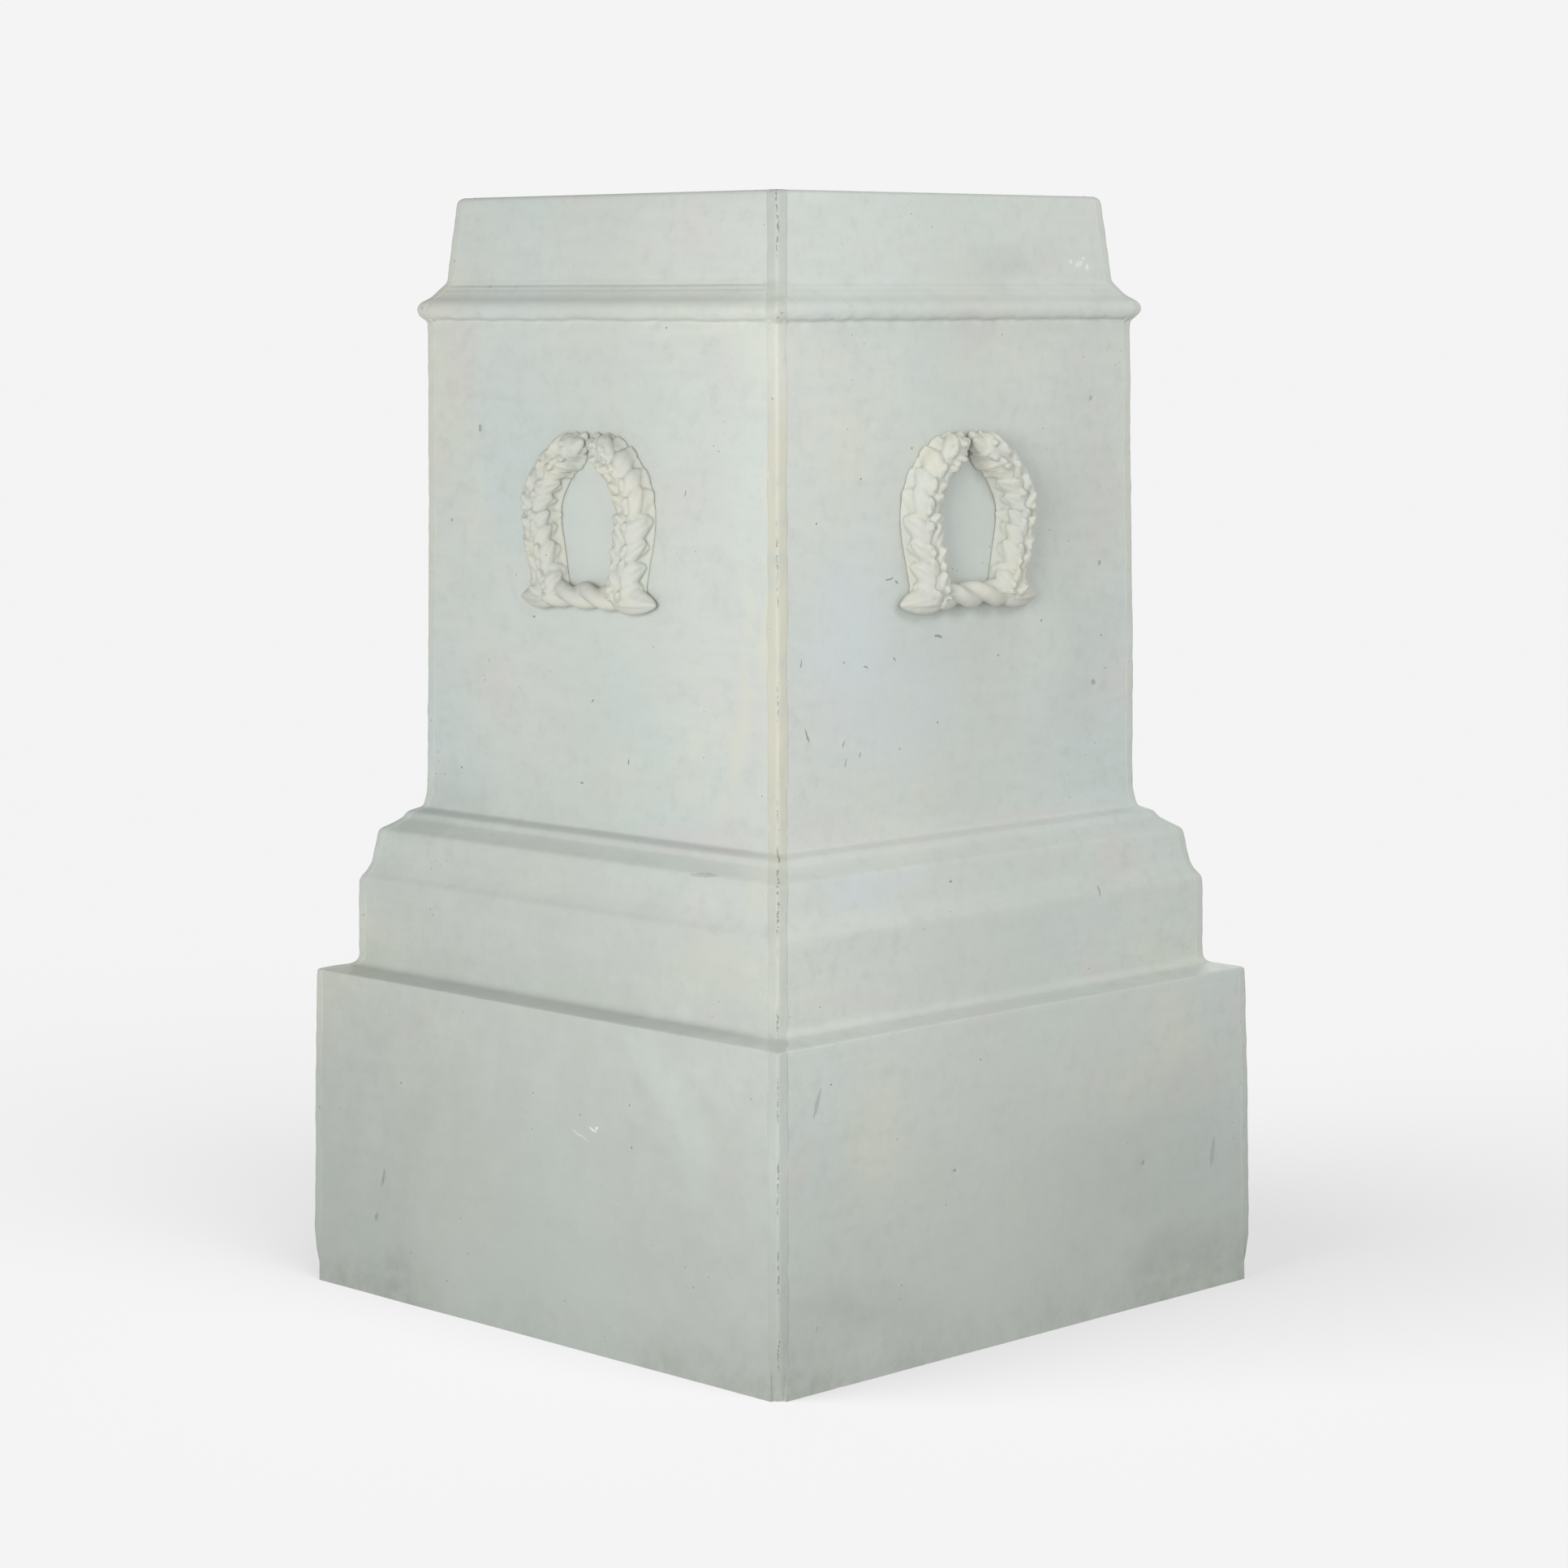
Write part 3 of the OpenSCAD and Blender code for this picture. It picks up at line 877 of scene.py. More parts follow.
@dataclass
class Section:
    """The section that all four faces share, as distance from the axis and height, in millimetres."""

    plinth_foot: float
    total_h: float
    plinth_h: float = 294.0
    plinth_batter: float = 5.0
    ledge_run: float = 20.0
    ledge_fall: float = 4.0
    ledge_cove: float = 7.5
    block_h: float = 70.0
    block_batter: float = 1.0
    block_round: float = 10.0
    fascia_set: float = 8.5
    fascia_lift: float = 18.0
    fascia_h: float = 26.0
    fascia_batter: float = 4.0
    shoulder_round: float = 7.0
    weather_run: float = 12.0
    weather_rise: float = 8.5
    foot_bead: float = 5.0
    foot_run: float = 8.5
    foot_rise: float = 5.0
    flare_run: float = 2.5
    flare_rise: float = 14.0
    die_batter: float = 4.5
    torus_r: float = 11.0
    torus_proj: float = 7.4
    neck_set: float = 12.0
    cavetto_rise: float = 14.0
    neck_h: float = 76.0
    neck_batter: float = 7.0
    top_round: float = 5.0
    wall: float = 15.0
    pitch: float = 0.6
    crisp_mm: float = 1.6
    soft_mm: float = 3.2

    def __post_init__(self) -> None:
        """Works out the stations that the outline and the other pieces share."""
        self.plinth_top = self.plinth_foot - self.plinth_batter
        self.ledge_in = self.plinth_top - self.ledge_run
        self.block_z = self.plinth_h + self.ledge_fall + self.ledge_cove
        self.block_foot = self.ledge_in - self.ledge_cove
        self.block_top = self.block_foot - self.block_batter
        self.arris_z = self.block_z + self.block_h
        self.fascia_foot = self.block_top - self.fascia_set
        self.fascia_z = self.arris_z + self.fascia_lift
        self.fascia_top = self.fascia_foot - self.fascia_batter
        self.shoulder_z = self.fascia_z + self.fascia_h
        low = math.radians(75)
        self.weather_in = self.fascia_top - self.shoulder_round * (1 - math.cos(low)) - self.weather_run
        self.weather_z = self.shoulder_z + self.shoulder_round * math.sin(low) + self.weather_rise
        self.bead_in = self.weather_in - self.foot_bead
        self.bead_z = self.weather_z + self.foot_bead + 2
        self.die_foot = self.bead_in - self.foot_run - self.flare_run
        self.die_z = self.bead_z + self.foot_rise + self.flare_rise
        self.die_top = self.die_foot - self.die_batter
        self.neck_foot = self.die_top - self.neck_set
        self.neck_top = self.neck_foot - self.neck_batter
        self.neck_z = self.total_h - self.neck_h
        self.torus_z = self.neck_z - self.cavetto_rise - self.torus_r
        self.torus_c = self.die_top + self.torus_proj - self.torus_r
        self.torus_foot = self.torus_z - math.sqrt(self.torus_r**2 - (self.torus_r - self.torus_proj) ** 2)

    def outline(self) -> list[Vector]:
        """The outer line, from the foot to the top."""
        low = math.degrees(math.acos((self.die_top - self.torus_c) / self.torus_r))
        return [
            Vector((self.plinth_foot, 0)),
            Vector((self.plinth_top, self.plinth_h)),
            *arc((self.ledge_in, self.block_z), self.ledge_cove, -90, -180),
            *arc((self.block_top - self.block_round, self.arris_z), self.block_round, 0, 55),
            Vector((self.fascia_foot, self.fascia_z)),
            *arc((self.fascia_top - self.shoulder_round, self.shoulder_z), self.shoulder_round, 0, 75),
            Vector((self.weather_in, self.weather_z)),
            *arc((self.weather_in - self.foot_bead - 1, self.weather_z + 2), self.foot_bead, 0, 75),
            Vector((self.bead_in - self.foot_run, self.bead_z + self.foot_rise - 2)),
            Vector((self.die_foot, self.die_z)),
            *arc((self.torus_c, self.torus_z), self.torus_r, -low, 78),
            Vector((self.neck_foot, self.neck_z)),
            *arc((self.neck_top - self.top_round, self.total_h - self.top_round), self.top_round, 8, 90),
        ]

    def inner_line(self) -> list[Vector]:
        """The line of the cast's rough back, from the top down to the foot."""
        t = self.wall
        return [
            Vector((self.neck_top - t, self.total_h)),
            Vector((self.neck_foot - t, self.neck_z)),
            Vector((self.die_top - t, self.torus_z)),
            Vector((self.die_foot - t, self.die_z - t)),
            Vector((self.block_top - t, self.arris_z - t)),
            Vector((self.block_foot - t, self.block_z - t)),
            Vector((self.plinth_top - t, self.plinth_h - t)),
            Vector((self.plinth_foot - t, 0)),
        ]

    def rows(self, longest: float = 2.7, bend: float = 7.0) -> list[Row]:
        """Stations up the outer line, close together where it bends.

        Args:
            longest: Greatest distance between stations, in millimetres.
            bend: Greatest turn between stations, in degrees.

        Returns:
            The stations, in metres.
        """
        even = resample(self.outline(), self.pitch)
        crisp = relaxed(even, self.crisp_mm / self.pitch)
        soft = relaxed(even, self.soft_mm / self.pitch)
        found, run, turned = [], longest, 0.0
        for i, point in enumerate(crisp):
            ahead = crisp[min(i + 1, len(crisp) - 1)]
            behind = crisp[max(i - 1, 0)]
            if 0 < i < len(crisp) - 1:
                run += self.pitch
                turned += math.degrees((ahead - point).angle(point - behind))
            grooved = abs(point.y - (self.neck_z - 6)) < 9 and run > 1.1
            if i in (0, len(crisp) - 1) or run >= longest or turned >= bend or grooved:
                along = (ahead - behind).normalized()
                filled = bell(point.y - (self.neck_z - 13), 8)
                found.append(Row(point.lerp(soft[i], filled) * MM, soft[i] * MM, Vector((along.y, -along.x))))
                run, turned = 0.0, 0.0
        return found

    def die_face(self, height: float) -> float:
        """Distance of the die's face from the axis at a height, both in metres."""
        share = (height / MM - self.die_z) / (self.torus_z - self.die_z)
        return (self.die_foot - self.die_batter * share) * MM


# ---------------------------------------------------------------- panels and stoppings


@dataclass(frozen=True)
class Dent:
    """A shallow round hollow in a face, in millimetres."""

    across: float
    height: float
    radius: float
    depth: float


@dataclass(frozen=True)
class Wrinkle:
    """A patch where the paint has dried in wrinkles, in millimetres."""

    across: float
    height: float
    radius: float
    size: float


@dataclass(frozen=True)
class Wear:
    """What sets one face apart: tones, marks, dents and wrinkles, and how deep its scratched lines are."""

    washes: tuple[Wash, ...]
    marks: tuple[Mark, ...] = ()
    dents: tuple[Dent, ...] = ()
    wrinkles: tuple[Wrinkle, ...] = ()
    groove_depth: float = 0.9


@dataclass
class Surface:
    """The slight unevenness that panels and stoppings share, so that they meet."""

    section: Section
    edge: float = 10 * MM
    soften_reach: float = 16 * MM
    soften_most: float = 0.5
    broad_wave: float = 0.13
    middling_wave: float = 0.045
    torus_waves: tuple[float, float] = (0.024, 0.009)

    def softness(self, from_edge: float) -> float:
        """How far the section is rubbed soft, at a distance from the stopping."""
        return self.soften_most * bell(max(0.0, from_edge), self.soften_reach)

    def point(self, row: Row, from_edge: float) -> Vector:
        """The section's point at a distance from the stopping."""
        return row.crisp.lerp(row.soft, self.softness(from_edge))

    def sag(self, spot: Vector, row: Row) -> float:
        """How far the cast face stands proud of its true place, which is never above zero.

        Args:
            spot: The point, in the pedestal's frame.
            row: Its station.

        Returns:
            The offset along the normal, in metres.
        """
        broad = noise.noise(spot / self.broad_wave)
        middling = noise.noise(spot / self.middling_wave + Vector((3.1, 7.7, 1.3)))
        offset = -(0.6 + 0.5 * broad + 0.22 * middling) * MM
        under = self.section.torus_z * MM - spot.z
        if 0 < under < 18 * MM and row.normal.y < 0.2:
            coarse, fine = self.torus_waves
            waves = noise.noise(spot / coarse + Vector((0.4, 0.2, 5.0)))
            waves += 0.6 * noise.noise(spot / fine)
            offset += 1.3 * waves * MM * bell(under - 9 * MM, 7 * MM)
        return min(offset, 0.0) if row.normal.x > 0.9 and spot.z < 0.3 else offset


@dataclass
class Panel:
    """One cast face panel, from the floor to the top edge, mitred at both ends."""

    section: Section
    surface: Surface
    side: Side
    finish: Finish
    wear: Wear
    columns: int = 148
    rebate: float = 8 * MM
    crease_depth: float = 1.1
    back_pitch: float = 16.0
    rows: list[Row] = field(init=False)
    back: list[Vector] = field(init=False)
    last: int = field(init=False)

    def __post_init__(self) -> None:
        """Sets out the stations of the face and of the back."""
        self.rows = self.section.rows()
        self.back = [point * MM for point in resample(self.section.inner_line(), self.back_pitch)]
        self.last = self.columns + 4

    def lateral(self, column: int, half: float) -> float:
        """Place of a column along the face, from the middle."""
        if column in (0, self.last):
            return math.copysign(half, column - 1)
        reach = half - self.surface.edge
        inner = min(max(column - 2, 0), self.columns)
        return reach * (2 * inner / self.columns - 1)

    def moulding_marks(self, across: float, from_edge: float, height: float) -> float:
        """Twin scratched lines under the neck, the crease under the torus, dents and wrinkles.

        Args:
            across: Place along the face, in metres.
            from_edge: Distance from the stopping, in metres.
            height: Height, in metres.

        Returns:
            The offset along the normal, in metres.
        """
        up = height / MM - self.section.neck_z
        fade = smoothstep(0, 9 * MM, from_edge)
        offset = -self.wear.groove_depth * fade * (bell(up + 2.3, 1.2) + 0.6 * bell(up + 6.4, 1.0))
        offset -= self.crease_depth * bell(height / MM - self.section.torus_foot, 1.5)
        for dent in self.wear.dents:
            away = math.hypot(across / MM - dent.across, height / MM - dent.height) / dent.radius
            if away < 1:
                offset -= dent.depth * (1 - away**2) ** 2
        for patch in self.wear.wrinkles:
            away = math.hypot(across / MM - patch.across, height / MM - patch.height) / patch.radius
            if away < 1:
                folds = noise.noise(Vector((across, height * 1.8, 0.2)) / 0.007)
                offset += patch.size * (abs(folds) - 0.25) * (1 - away**2)
        return offset * MM

    def worn_foot(self, spot: Vector, point: Vector) -> Vector:
        """Takes small chips out of the edge that stands on the floor."""
        if point.y > 4 * MM:
            return point
        bite = noise.noise(spot / 0.011) + 0.7 * noise.noise(spot / 0.05) - 0.55
        bite = max(0.0, bite) * 4 * MM
        return Vector((point.x - 0.6 * bite, point.y + bite))

    def face_point(self, row: Row, column: int) -> Vector:
        """Point of the face, or of the rebate behind the stopping."""
        sunk = column in (0, 1, self.last - 1, self.last)
        half = row.crisp.x
        reach = half - self.surface.edge
        across = self.lateral(column, half)
        from_edge = reach - abs(across)
        point = self.surface.point(row, from_edge)
        if sunk:
            drop = min(self.rebate / 2, max(self.section.total_h * MM - point.y, 0.6 * MM))
            point = Vector((point.x - self.rebate, max(point.y - drop, 0.0)))
            if column in (0, self.last):
                across = math.copysign(point.x, across)
            return Vector((across, -point.x, point.y))
        spot = self.side.turn @ Vector((across, -point.x, point.y))
        offset = self.surface.sag(spot, row) + self.moulding_marks(across, from_edge, point.y)
        height = point.y
        moved = point + row.normal * offset
        if height < WELD:
            moved.y = 0.0
        moved = self.worn_foot(spot, moved)
        most = self.section.plinth_foot * MM
        top = self.section.total_h * MM
        return Vector((across, -min(moved.x, most), min(max(moved.y, 0.0), top)))

    def back_point(self, point: Vector, column: int) -> Vector:
        """Point of the hand-laid back of the cast."""
        mitre = column in (0, self.last)
        across = self.lateral(column, point.x)
        if column == 1:
            across -= self.surface.edge / 2
        if column == self.last - 1:
            across += self.surface.edge / 2
        spot = self.side.turn @ Vector((across, -point.x, point.y))
        lump = 0.0 if mitre else 1.6 * (noise.noise(spot / 0.03) + 0.5 * noise.noise(spot / 0.008))
        depth = point.x - max(-1.0, min(lump, 2.0)) * MM
        if mitre:
            across = math.copysign(depth, across)
        return Vector((across, -depth, point.y))

    def build(self) -> Piece:
        """Makes the panel."""
        count = len(self.rows)

        def place(row: int, column: int) -> Vector:
            """Point of the closed section, face first and then the back."""
            if row < count:
                return self.face_point(self.rows[row], column)
            return self.back_point(self.back[row - count], column)

        shape = wrapped_grid(count + len(self.back), self.last, place)
        bmesh.ops.transform(shape, matrix=self.side.turn, verts=shape.verts)
        name = self.side.name.lower()
        return settle(shape, f"{name}_cast_panel", self.finish, [f"panel_{name}"])


@dataclass
class Stopping:
    """The filled and rubbed-down joint at one corner, over its whole height."""

    section: Section
    surface: Surface
    corner: Corner
    finish: Finish
    half_width: float = 9 * MM
    ragged: float = 1.5 * MM
    arris: float = 1.4 * MM
    foot_flat: float = 6.5 * MM
    foot_rise: float = 26 * MM
    proud: float = 0.45 * MM
    dip: float = 1.6 * MM
    depth: float = 9 * MM
    rebate: float = 8 * MM
    edge_wave: float = 0.02
    arris_wave: float = 0.06
    lump_wave: float = 0.012
    steps: int = 20

    def ring(self, height: float) -> list[tuple[float, float]]:
        """Face of the stopping at a height, from its front edge to its right one.

        Args:
            height: Height, in metres.

        Returns:
            For each column, the place across the diagonal and the depth below the true corner.
        """
        seed = self.corner.value * 3.7
        left = self.half_width + self.ragged * noise.noise(Vector((height / self.edge_wave, seed, 0.5)))
        right = self.half_width + self.ragged * noise.noise(Vector((height / self.edge_wave, seed, 4.5)))
        flat = self.arris * (1 + 0.35 * noise.noise(Vector((height / self.arris_wave, seed, 9.5))))
        flat += self.foot_flat * bell(height, self.foot_rise)
        points = []
        for i in range(self.steps + 1):
            share = 2 * i / self.steps - 1
            across = share * (left if share < 0 else right)
            rubbed = math.hypot(across, flat) - abs(across)
            edge = self.dip if i in (0, self.steps) else 0.0
            points.append((across, abs(across) + rubbed - self.proud * abs(share) + edge))
        return points

    def build(self) -> Piece:
        """Makes the stopping."""
        rows = self.section.rows()
        rings = [self.ring(row.crisp.y) for row in rows]
        wing = self.rebate / math.sqrt(2)
        wing_depth = (self.rebate + self.depth) / math.sqrt(2)
        back = [(wing, wing_depth), (0.0, self.depth * math.sqrt(2)), (-wing, wing_depth)]
        top = self.section.total_h * MM
        most = self.section.plinth_foot * MM
        outward = Vector((1, -1)) / math.sqrt(2)
        sideways = Vector((1, 1)) / math.sqrt(2)

        def place(step: int, level: int) -> Vector:
            """Point of the ring at one level."""
            row = rows[level]
            point = self.surface.point(row, 0.0)
            face = step <= self.steps
            across, below = rings[level][step] if face else back[step - self.steps - 1]
            plan = Vector((point.x, -point.x)) + sideways * across - outward * below
            height = point.y
            if not face:
                height = max(height - min(self.depth / 2, top - height), 0.0)
                return Vector((plan.x, plan.y, height))
            spot = self.corner.turn @ Vector((plan.x, plan.y, height))
            lumps = 0.35 * MM * noise.noise(spot / self.lump_wave)
            push = self.surface.sag(spot, row) + min(lumps, 0.2 * MM)
            plan += outward * row.normal.x * push * math.sqrt(2)
            height = min(max(height + row.normal.y * push, 0.0), top)
            if row.crisp.y < WELD:
                height = 0.0
            return Vector((min(plan.x, most), max(plan.y, -most), height))

        shape = wrapped_grid(self.steps + 1 + len(back), len(rows) - 1, place)
        bmesh.ops.transform(shape, matrix=self.corner.turn, verts=shape.verts)
        name = self.corner.name.lower()
        return settle(shape, f"{name}_stopping", self.finish, [f"corner_strip_{name}"])


# ---------------------------------------------------------------- wreaths


@dataclass(frozen=True)
class LaidLeaf:
    """One leaf lying on a branch's mound, in millimetres along and across its skin, and degrees."""

    along: float
    across: float
    lean: float
    length: float
    half: float
    relief: float

    def may_reach(self, along: float) -> bool:
        """Whether the leaf may lie at a distance along the branch; its width reaches past its two ends."""
        ahead = along - self.along
        return -2 < ahead < self.length + 9 or abs(ahead) < 12

    def height(self, along: float, across: float) -> float:
        """How far the leaf stands above the mound at a place on the mound's skin.

        Args:
            along: Distance along the branch.
            across: Distance over the mound from its ridge, outwards.

        Returns:
            The height, which is 0 beside the leaf.
        """
        lean = math.radians(self.lean)
        ahead = along - self.along
        aside = across - self.across
        share = (ahead * math.cos(lean) + aside * math.sin(lean)) / self.length
        if not 0.0 < share < 1.0:
            return 0.0
        width = self.half * math.sin(math.pi * share**0.75) ** 0.5
        off = abs(aside * math.cos(lean) - ahead * math.sin(lean)) / max(width, 0.01)
        if off >= 1.0:
            return 0.0
        rise = 0.3 + 0.7 * smoothstep(0, 0.8, share)
        midrib = 0.2 * bell(off, 0.22) * smoothstep(0, 0.3, share)
        return self.relief * rise * ((1 - off**2.4) ** 0.6 - midrib)


@dataclass
class WreathMould:
    """The laurel wreath as it comes from its mould: across, out of the wall, and up, in millimetres.

    Two branches, each a ridged mound of overlapping leaves, rise from a twisted tie and lean together.
    """

    centre_z: float
    length: float = 148.0
    half: float = 15.0
    ridge: float = 20.5
    skin: float = 32.0
    spacing: float = 17.0
    berry: float = 3.4
    strand: float = 7.9
    twist_r: float = 4.3
    twist_pitch: float = 66.0
    tie_half: float = 47.0
    tie_z: float = -66.0
    tie_out: float = 9.0
    tip_lift: float = 0.28
    fillet: float = 4.2
    voxel: float = 0.95
    back: float = -2.0
    look_ahead: float = 0.02
    branch: tuple[tuple[float, float], ...] = (
        (47.5, -68.0), (54.5, -34.0), (60.5, -4.0), (57.5, 23.0), (38.5, 49.0), (12.0, 64.0))

    def spine(self, share: float) -> tuple[Vector, Vector, Vector]:
        """Point, direction and outward side of the right-hand branch at a share of its length."""
        points = [Vector((x, 0.0, z)) for x, z in self.branch]
        here = curve_point(points, share)
        ahead = curve_point(points, min(share + self.look_ahead, 1))
        along = (ahead - curve_point(points, max(share - self.look_ahead, 0))).normalized()
        return here, along, Vector((along.z, 0.0, -along.x))

    @staticmethod
    def leaf(shape: Shape, base: Vector, tip: Vector, up: Vector, half: float, thick: float,
             blunt: float = 0.5) -> None:
        """Adds one free-standing leaf: rounded at its base and narrowing to its tip.

        Args:
            shape: Shape to add it to.
            base: Where the leaf starts.
            tip: Where it ends.
            up: Which way its face looks.
            half: Half of its greatest width.
            thick: Half of its greatest thickness.
            blunt: How little it narrows, from 0 to 1.
        """
        added = bmesh.ops.create_icosphere(shape, subdivisions=4, radius=1.0)["verts"]
        along = tip - base
        side = up.cross(along).normalized()
        face = along.cross(side).normalized()
        for vertex in added:
            x, y, z = vertex.co
            share = (x + 1) / 2
            narrow = 1.15 - (1 - blunt) * share**2
            ridge = 0.22 * thick * bell(y, 0.3) if z > 0 else 0.0
            vertex.co = base + along * share + side * (half * y * narrow)
            vertex.co += face * (thick * z * narrow + ridge)

    def leaves(self, chance: random.Random) -> list[LaidLeaf]:
        """Lays the leaves of one branch, from the tie upwards.

        Args:
            chance: Source of the small differences between leaves.

        Returns:
            The leaves.
        """
        # For each kind: shift along, root across, lean, length, half width, relief.
        kinds = (
            (0.0, 6.0, 50.0, 28.0, 9.4, 7.0),
            (8.5, 17.0, 68.0, 15.0, 7.4, 4.4),
            (4.0, -6.0, -48.0, 26.0, 9.0, 6.4),
            (12.5, -17.0, -64.0, 14.0, 7.0, 4.0),
            (2.0, 2.5, 24.0, 14.0, 5.0, 6.6),
            (10.5, -2.5, -24.0, 13.0, 4.6, 6.2),
        )
        laid = []
        for number in range(-1, math.ceil(self.length / self.spacing)):
            for shift, across, lean, length, half, relief in kinds:
                along = number * self.spacing + shift + chance.uniform(-2.2, 2.2)
                size = self.size(along / self.length) * chance.uniform(0.9, 1.1)
                laid.append(LaidLeaf(along, across + chance.uniform(-1.5, 1.5), lean + chance.uniform(-9, 9),
                                     length * size, half * size, relief * chance.uniform(0.8, 1.2)))
        return laid

    def size(self, share: float) -> float:
        """How full the branch is at a share of its length."""
        return 0.95 + 0.06 * math.sin(math.pi * max(share, 0.0)) - 0.22 * smoothstep(0.62, 1.0, share)

    def mound(self, chance: random.Random, over: int = 84, under: int = 6, along: int = 180) -> Shape:
        """The right-hand branch: a ridged mound with its leaves and berries raised on it.

        Args:
            chance: Source of the small differences between leaves.
            over: Steps over the mound, from wall to wall.
            under: Steps back across its flat underside.
            along: Steps along it.

        Returns:
            The branch.
        """
        laid = self.leaves(chance)
        berries = [(n * self.spacing + chance.uniform(3, 9), side * chance.uniform(4.5, 7.5))
                   for n in range(math.ceil(self.length / self.spacing)) for side in (-1, 1)
                   if chance.random() < 0.75]
        columns = []
        for level in range(along + 1):
            share = level / along
            reach = share * self.length
            near = [leaf for leaf in laid if leaf.may_reach(reach)]
            beads = [berry for berry in berries if abs(berry[0] - reach) < self.berry]
            columns.append((share, reach, near, beads))

        def raised(across: float, level: int) -> float:
            """Height of the leaves and berries at a place on the mound."""
            _, reach, near, beads = columns[level]
            height = max((leaf.height(reach, across) for leaf in near), default=0.0)
            for bead_along, bead_across in beads:
                off = math.hypot(bead_along - reach, bead_across - across)
                if off < self.berry:
                    height = max(height, 2.2 + math.sqrt(self.berry**2 - off**2))
            return height

        def place(step: int, level: int) -> Vector:
            """Point of the branch's skin, or of its flat back."""
            share = columns[level][0]
            here, _, side = self.spine(share)
            size = self.size(share) * (1 - 0.5 * smoothstep(0.93, 1.0, share) ** 2)
            if step > over:
                shift = 1 - 2 * (step - over) / under
                return here + side * (self.half * size * shift) + Vector((0, self.back, 0))
            angle = math.pi * (step / over - 0.5)
            crown = abs(math.cos(angle)) ** 0.8
            swing = math.copysign(abs(math.sin(angle)) ** 0.92, angle)
            height = raised(angle / (math.pi / 2) * self.skin * size, level)
            height *= 0.35 + 0.65 * math.sqrt(crown)
            out = self.ridge * size * crown * (1 + self.tip_lift * smoothstep(0.65, 1.0, share))
            skirt = self.fillet * bell(out, 3.6) * swing
            across = self.half * size * swing + height * math.sin(angle) + skirt
            out += height * math.cos(angle)
            return here + side * across + Vector((0, out, 0))

        return wrapped_grid(over + under, along, place)

    def tie(self, shape: Shape) -> None:
        """Adds the tie: two twisted strands and a leaf-shaped end on each side."""
        around, along = 18, 64
        for start in (0.0, math.pi):

            def place(step: int, level: int, start: float = start) -> Vector:
                """Point of one strand's skin."""
                across = self.tie_half * (2 * level / along - 1)
                turn = math.tau * across / self.twist_pitch + start
                angle = math.tau * step / around
                size = self.strand * (0.4 if level in (0, along) else 1.0)
                up = self.twist_r * math.cos(turn) + size * math.cos(angle)
                out = self.twist_r * math.sin(turn) + size * math.sin(angle)
                return Vector((across, self.tie_out + out, self.tie_z + up))

            join(shape, wrapped_grid(around, along, place))
        # For each leaf of an end: its base and tip (across, out, up from the tie), tilt, half width, half
        # thickness and bluntness.
        ends = (
            ((34, 9, 1), (87, 6, -5), 0.15, 12.5, 9.0, 0.42),
            ((42, 14, -3), (82, 9, -5), -0.2, 6.5, 5.5, 0.5),
        )
        for sign in (-1, 1):
            for base, tip, tilt, half, thick, blunt in ends:
                near, far = (Vector((sign * x, y, self.tie_z + z)) for x, y, z in (base, tip))
                self.leaf(shape, near, far, Vector((0, 1, tilt)), half, thick, blunt)

    def cast(self) -> Shape:
        """Fuses branches and tie into one casting, with paint-softened edges.

        Returns:
            The casting, in millimetres.
        """
        chance = random.Random(11)
        half = self.mound(chance)
        here, along, side = self.spine(0.97)
        # For each leaf at the branch's tip: turn in radians, reach and height above the wall.
        tips = ((0.0, 14, 12), (0.5, 16, 6), (-0.55, 12, 7))
        for turn, reach, out in tips:
            way = along * math.cos(turn) + side * math.sin(turn)
            base = here - way * 14 + Vector((0, out, 0))
            tip = here + way * reach + Vector((0, out - 3, 0))
            self.leaf(half, base, tip, Vector((0, 1, 0)), 6.8, 4.4, 0.85)
        twin = half.copy()
        bmesh.ops.transform(twin, matrix=Matrix.Scale(-1, 4, Vector((1, 0, 0))), verts=twin.verts)
        bmesh.ops.reverse_faces(twin, faces=twin.faces)
        shape = bmesh.new()
        join(shape, half)
        join(shape, twin)
        self.tie(shape)
        for vertex in shape.verts:
            vertex.co.y = max(vertex.co.y, self.back)
        bmesh.ops.scale(shape, vec=Vector((MM, MM, MM)), verts=shape.verts)
        fused = modified(
            shape,
            {"type": "REMESH", "mode": "VOXEL", "voxel_size": self.voxel * MM, "adaptivity": 0.0},
            {"type": "SMOOTH", "factor": 0.5, "iterations": 3},
        )
        keep_largest(fused)
        face_outwards(fused)
        return fused


def join(target: Shape, source: Shape) -> None:
    """Adds one shape to another and frees it."""
    mesh = bpy.data.meshes.new("joining")
    source.to_mesh(mesh)
    source.free()
    target.from_mesh(mesh)
    bpy.data.meshes.remove(mesh)


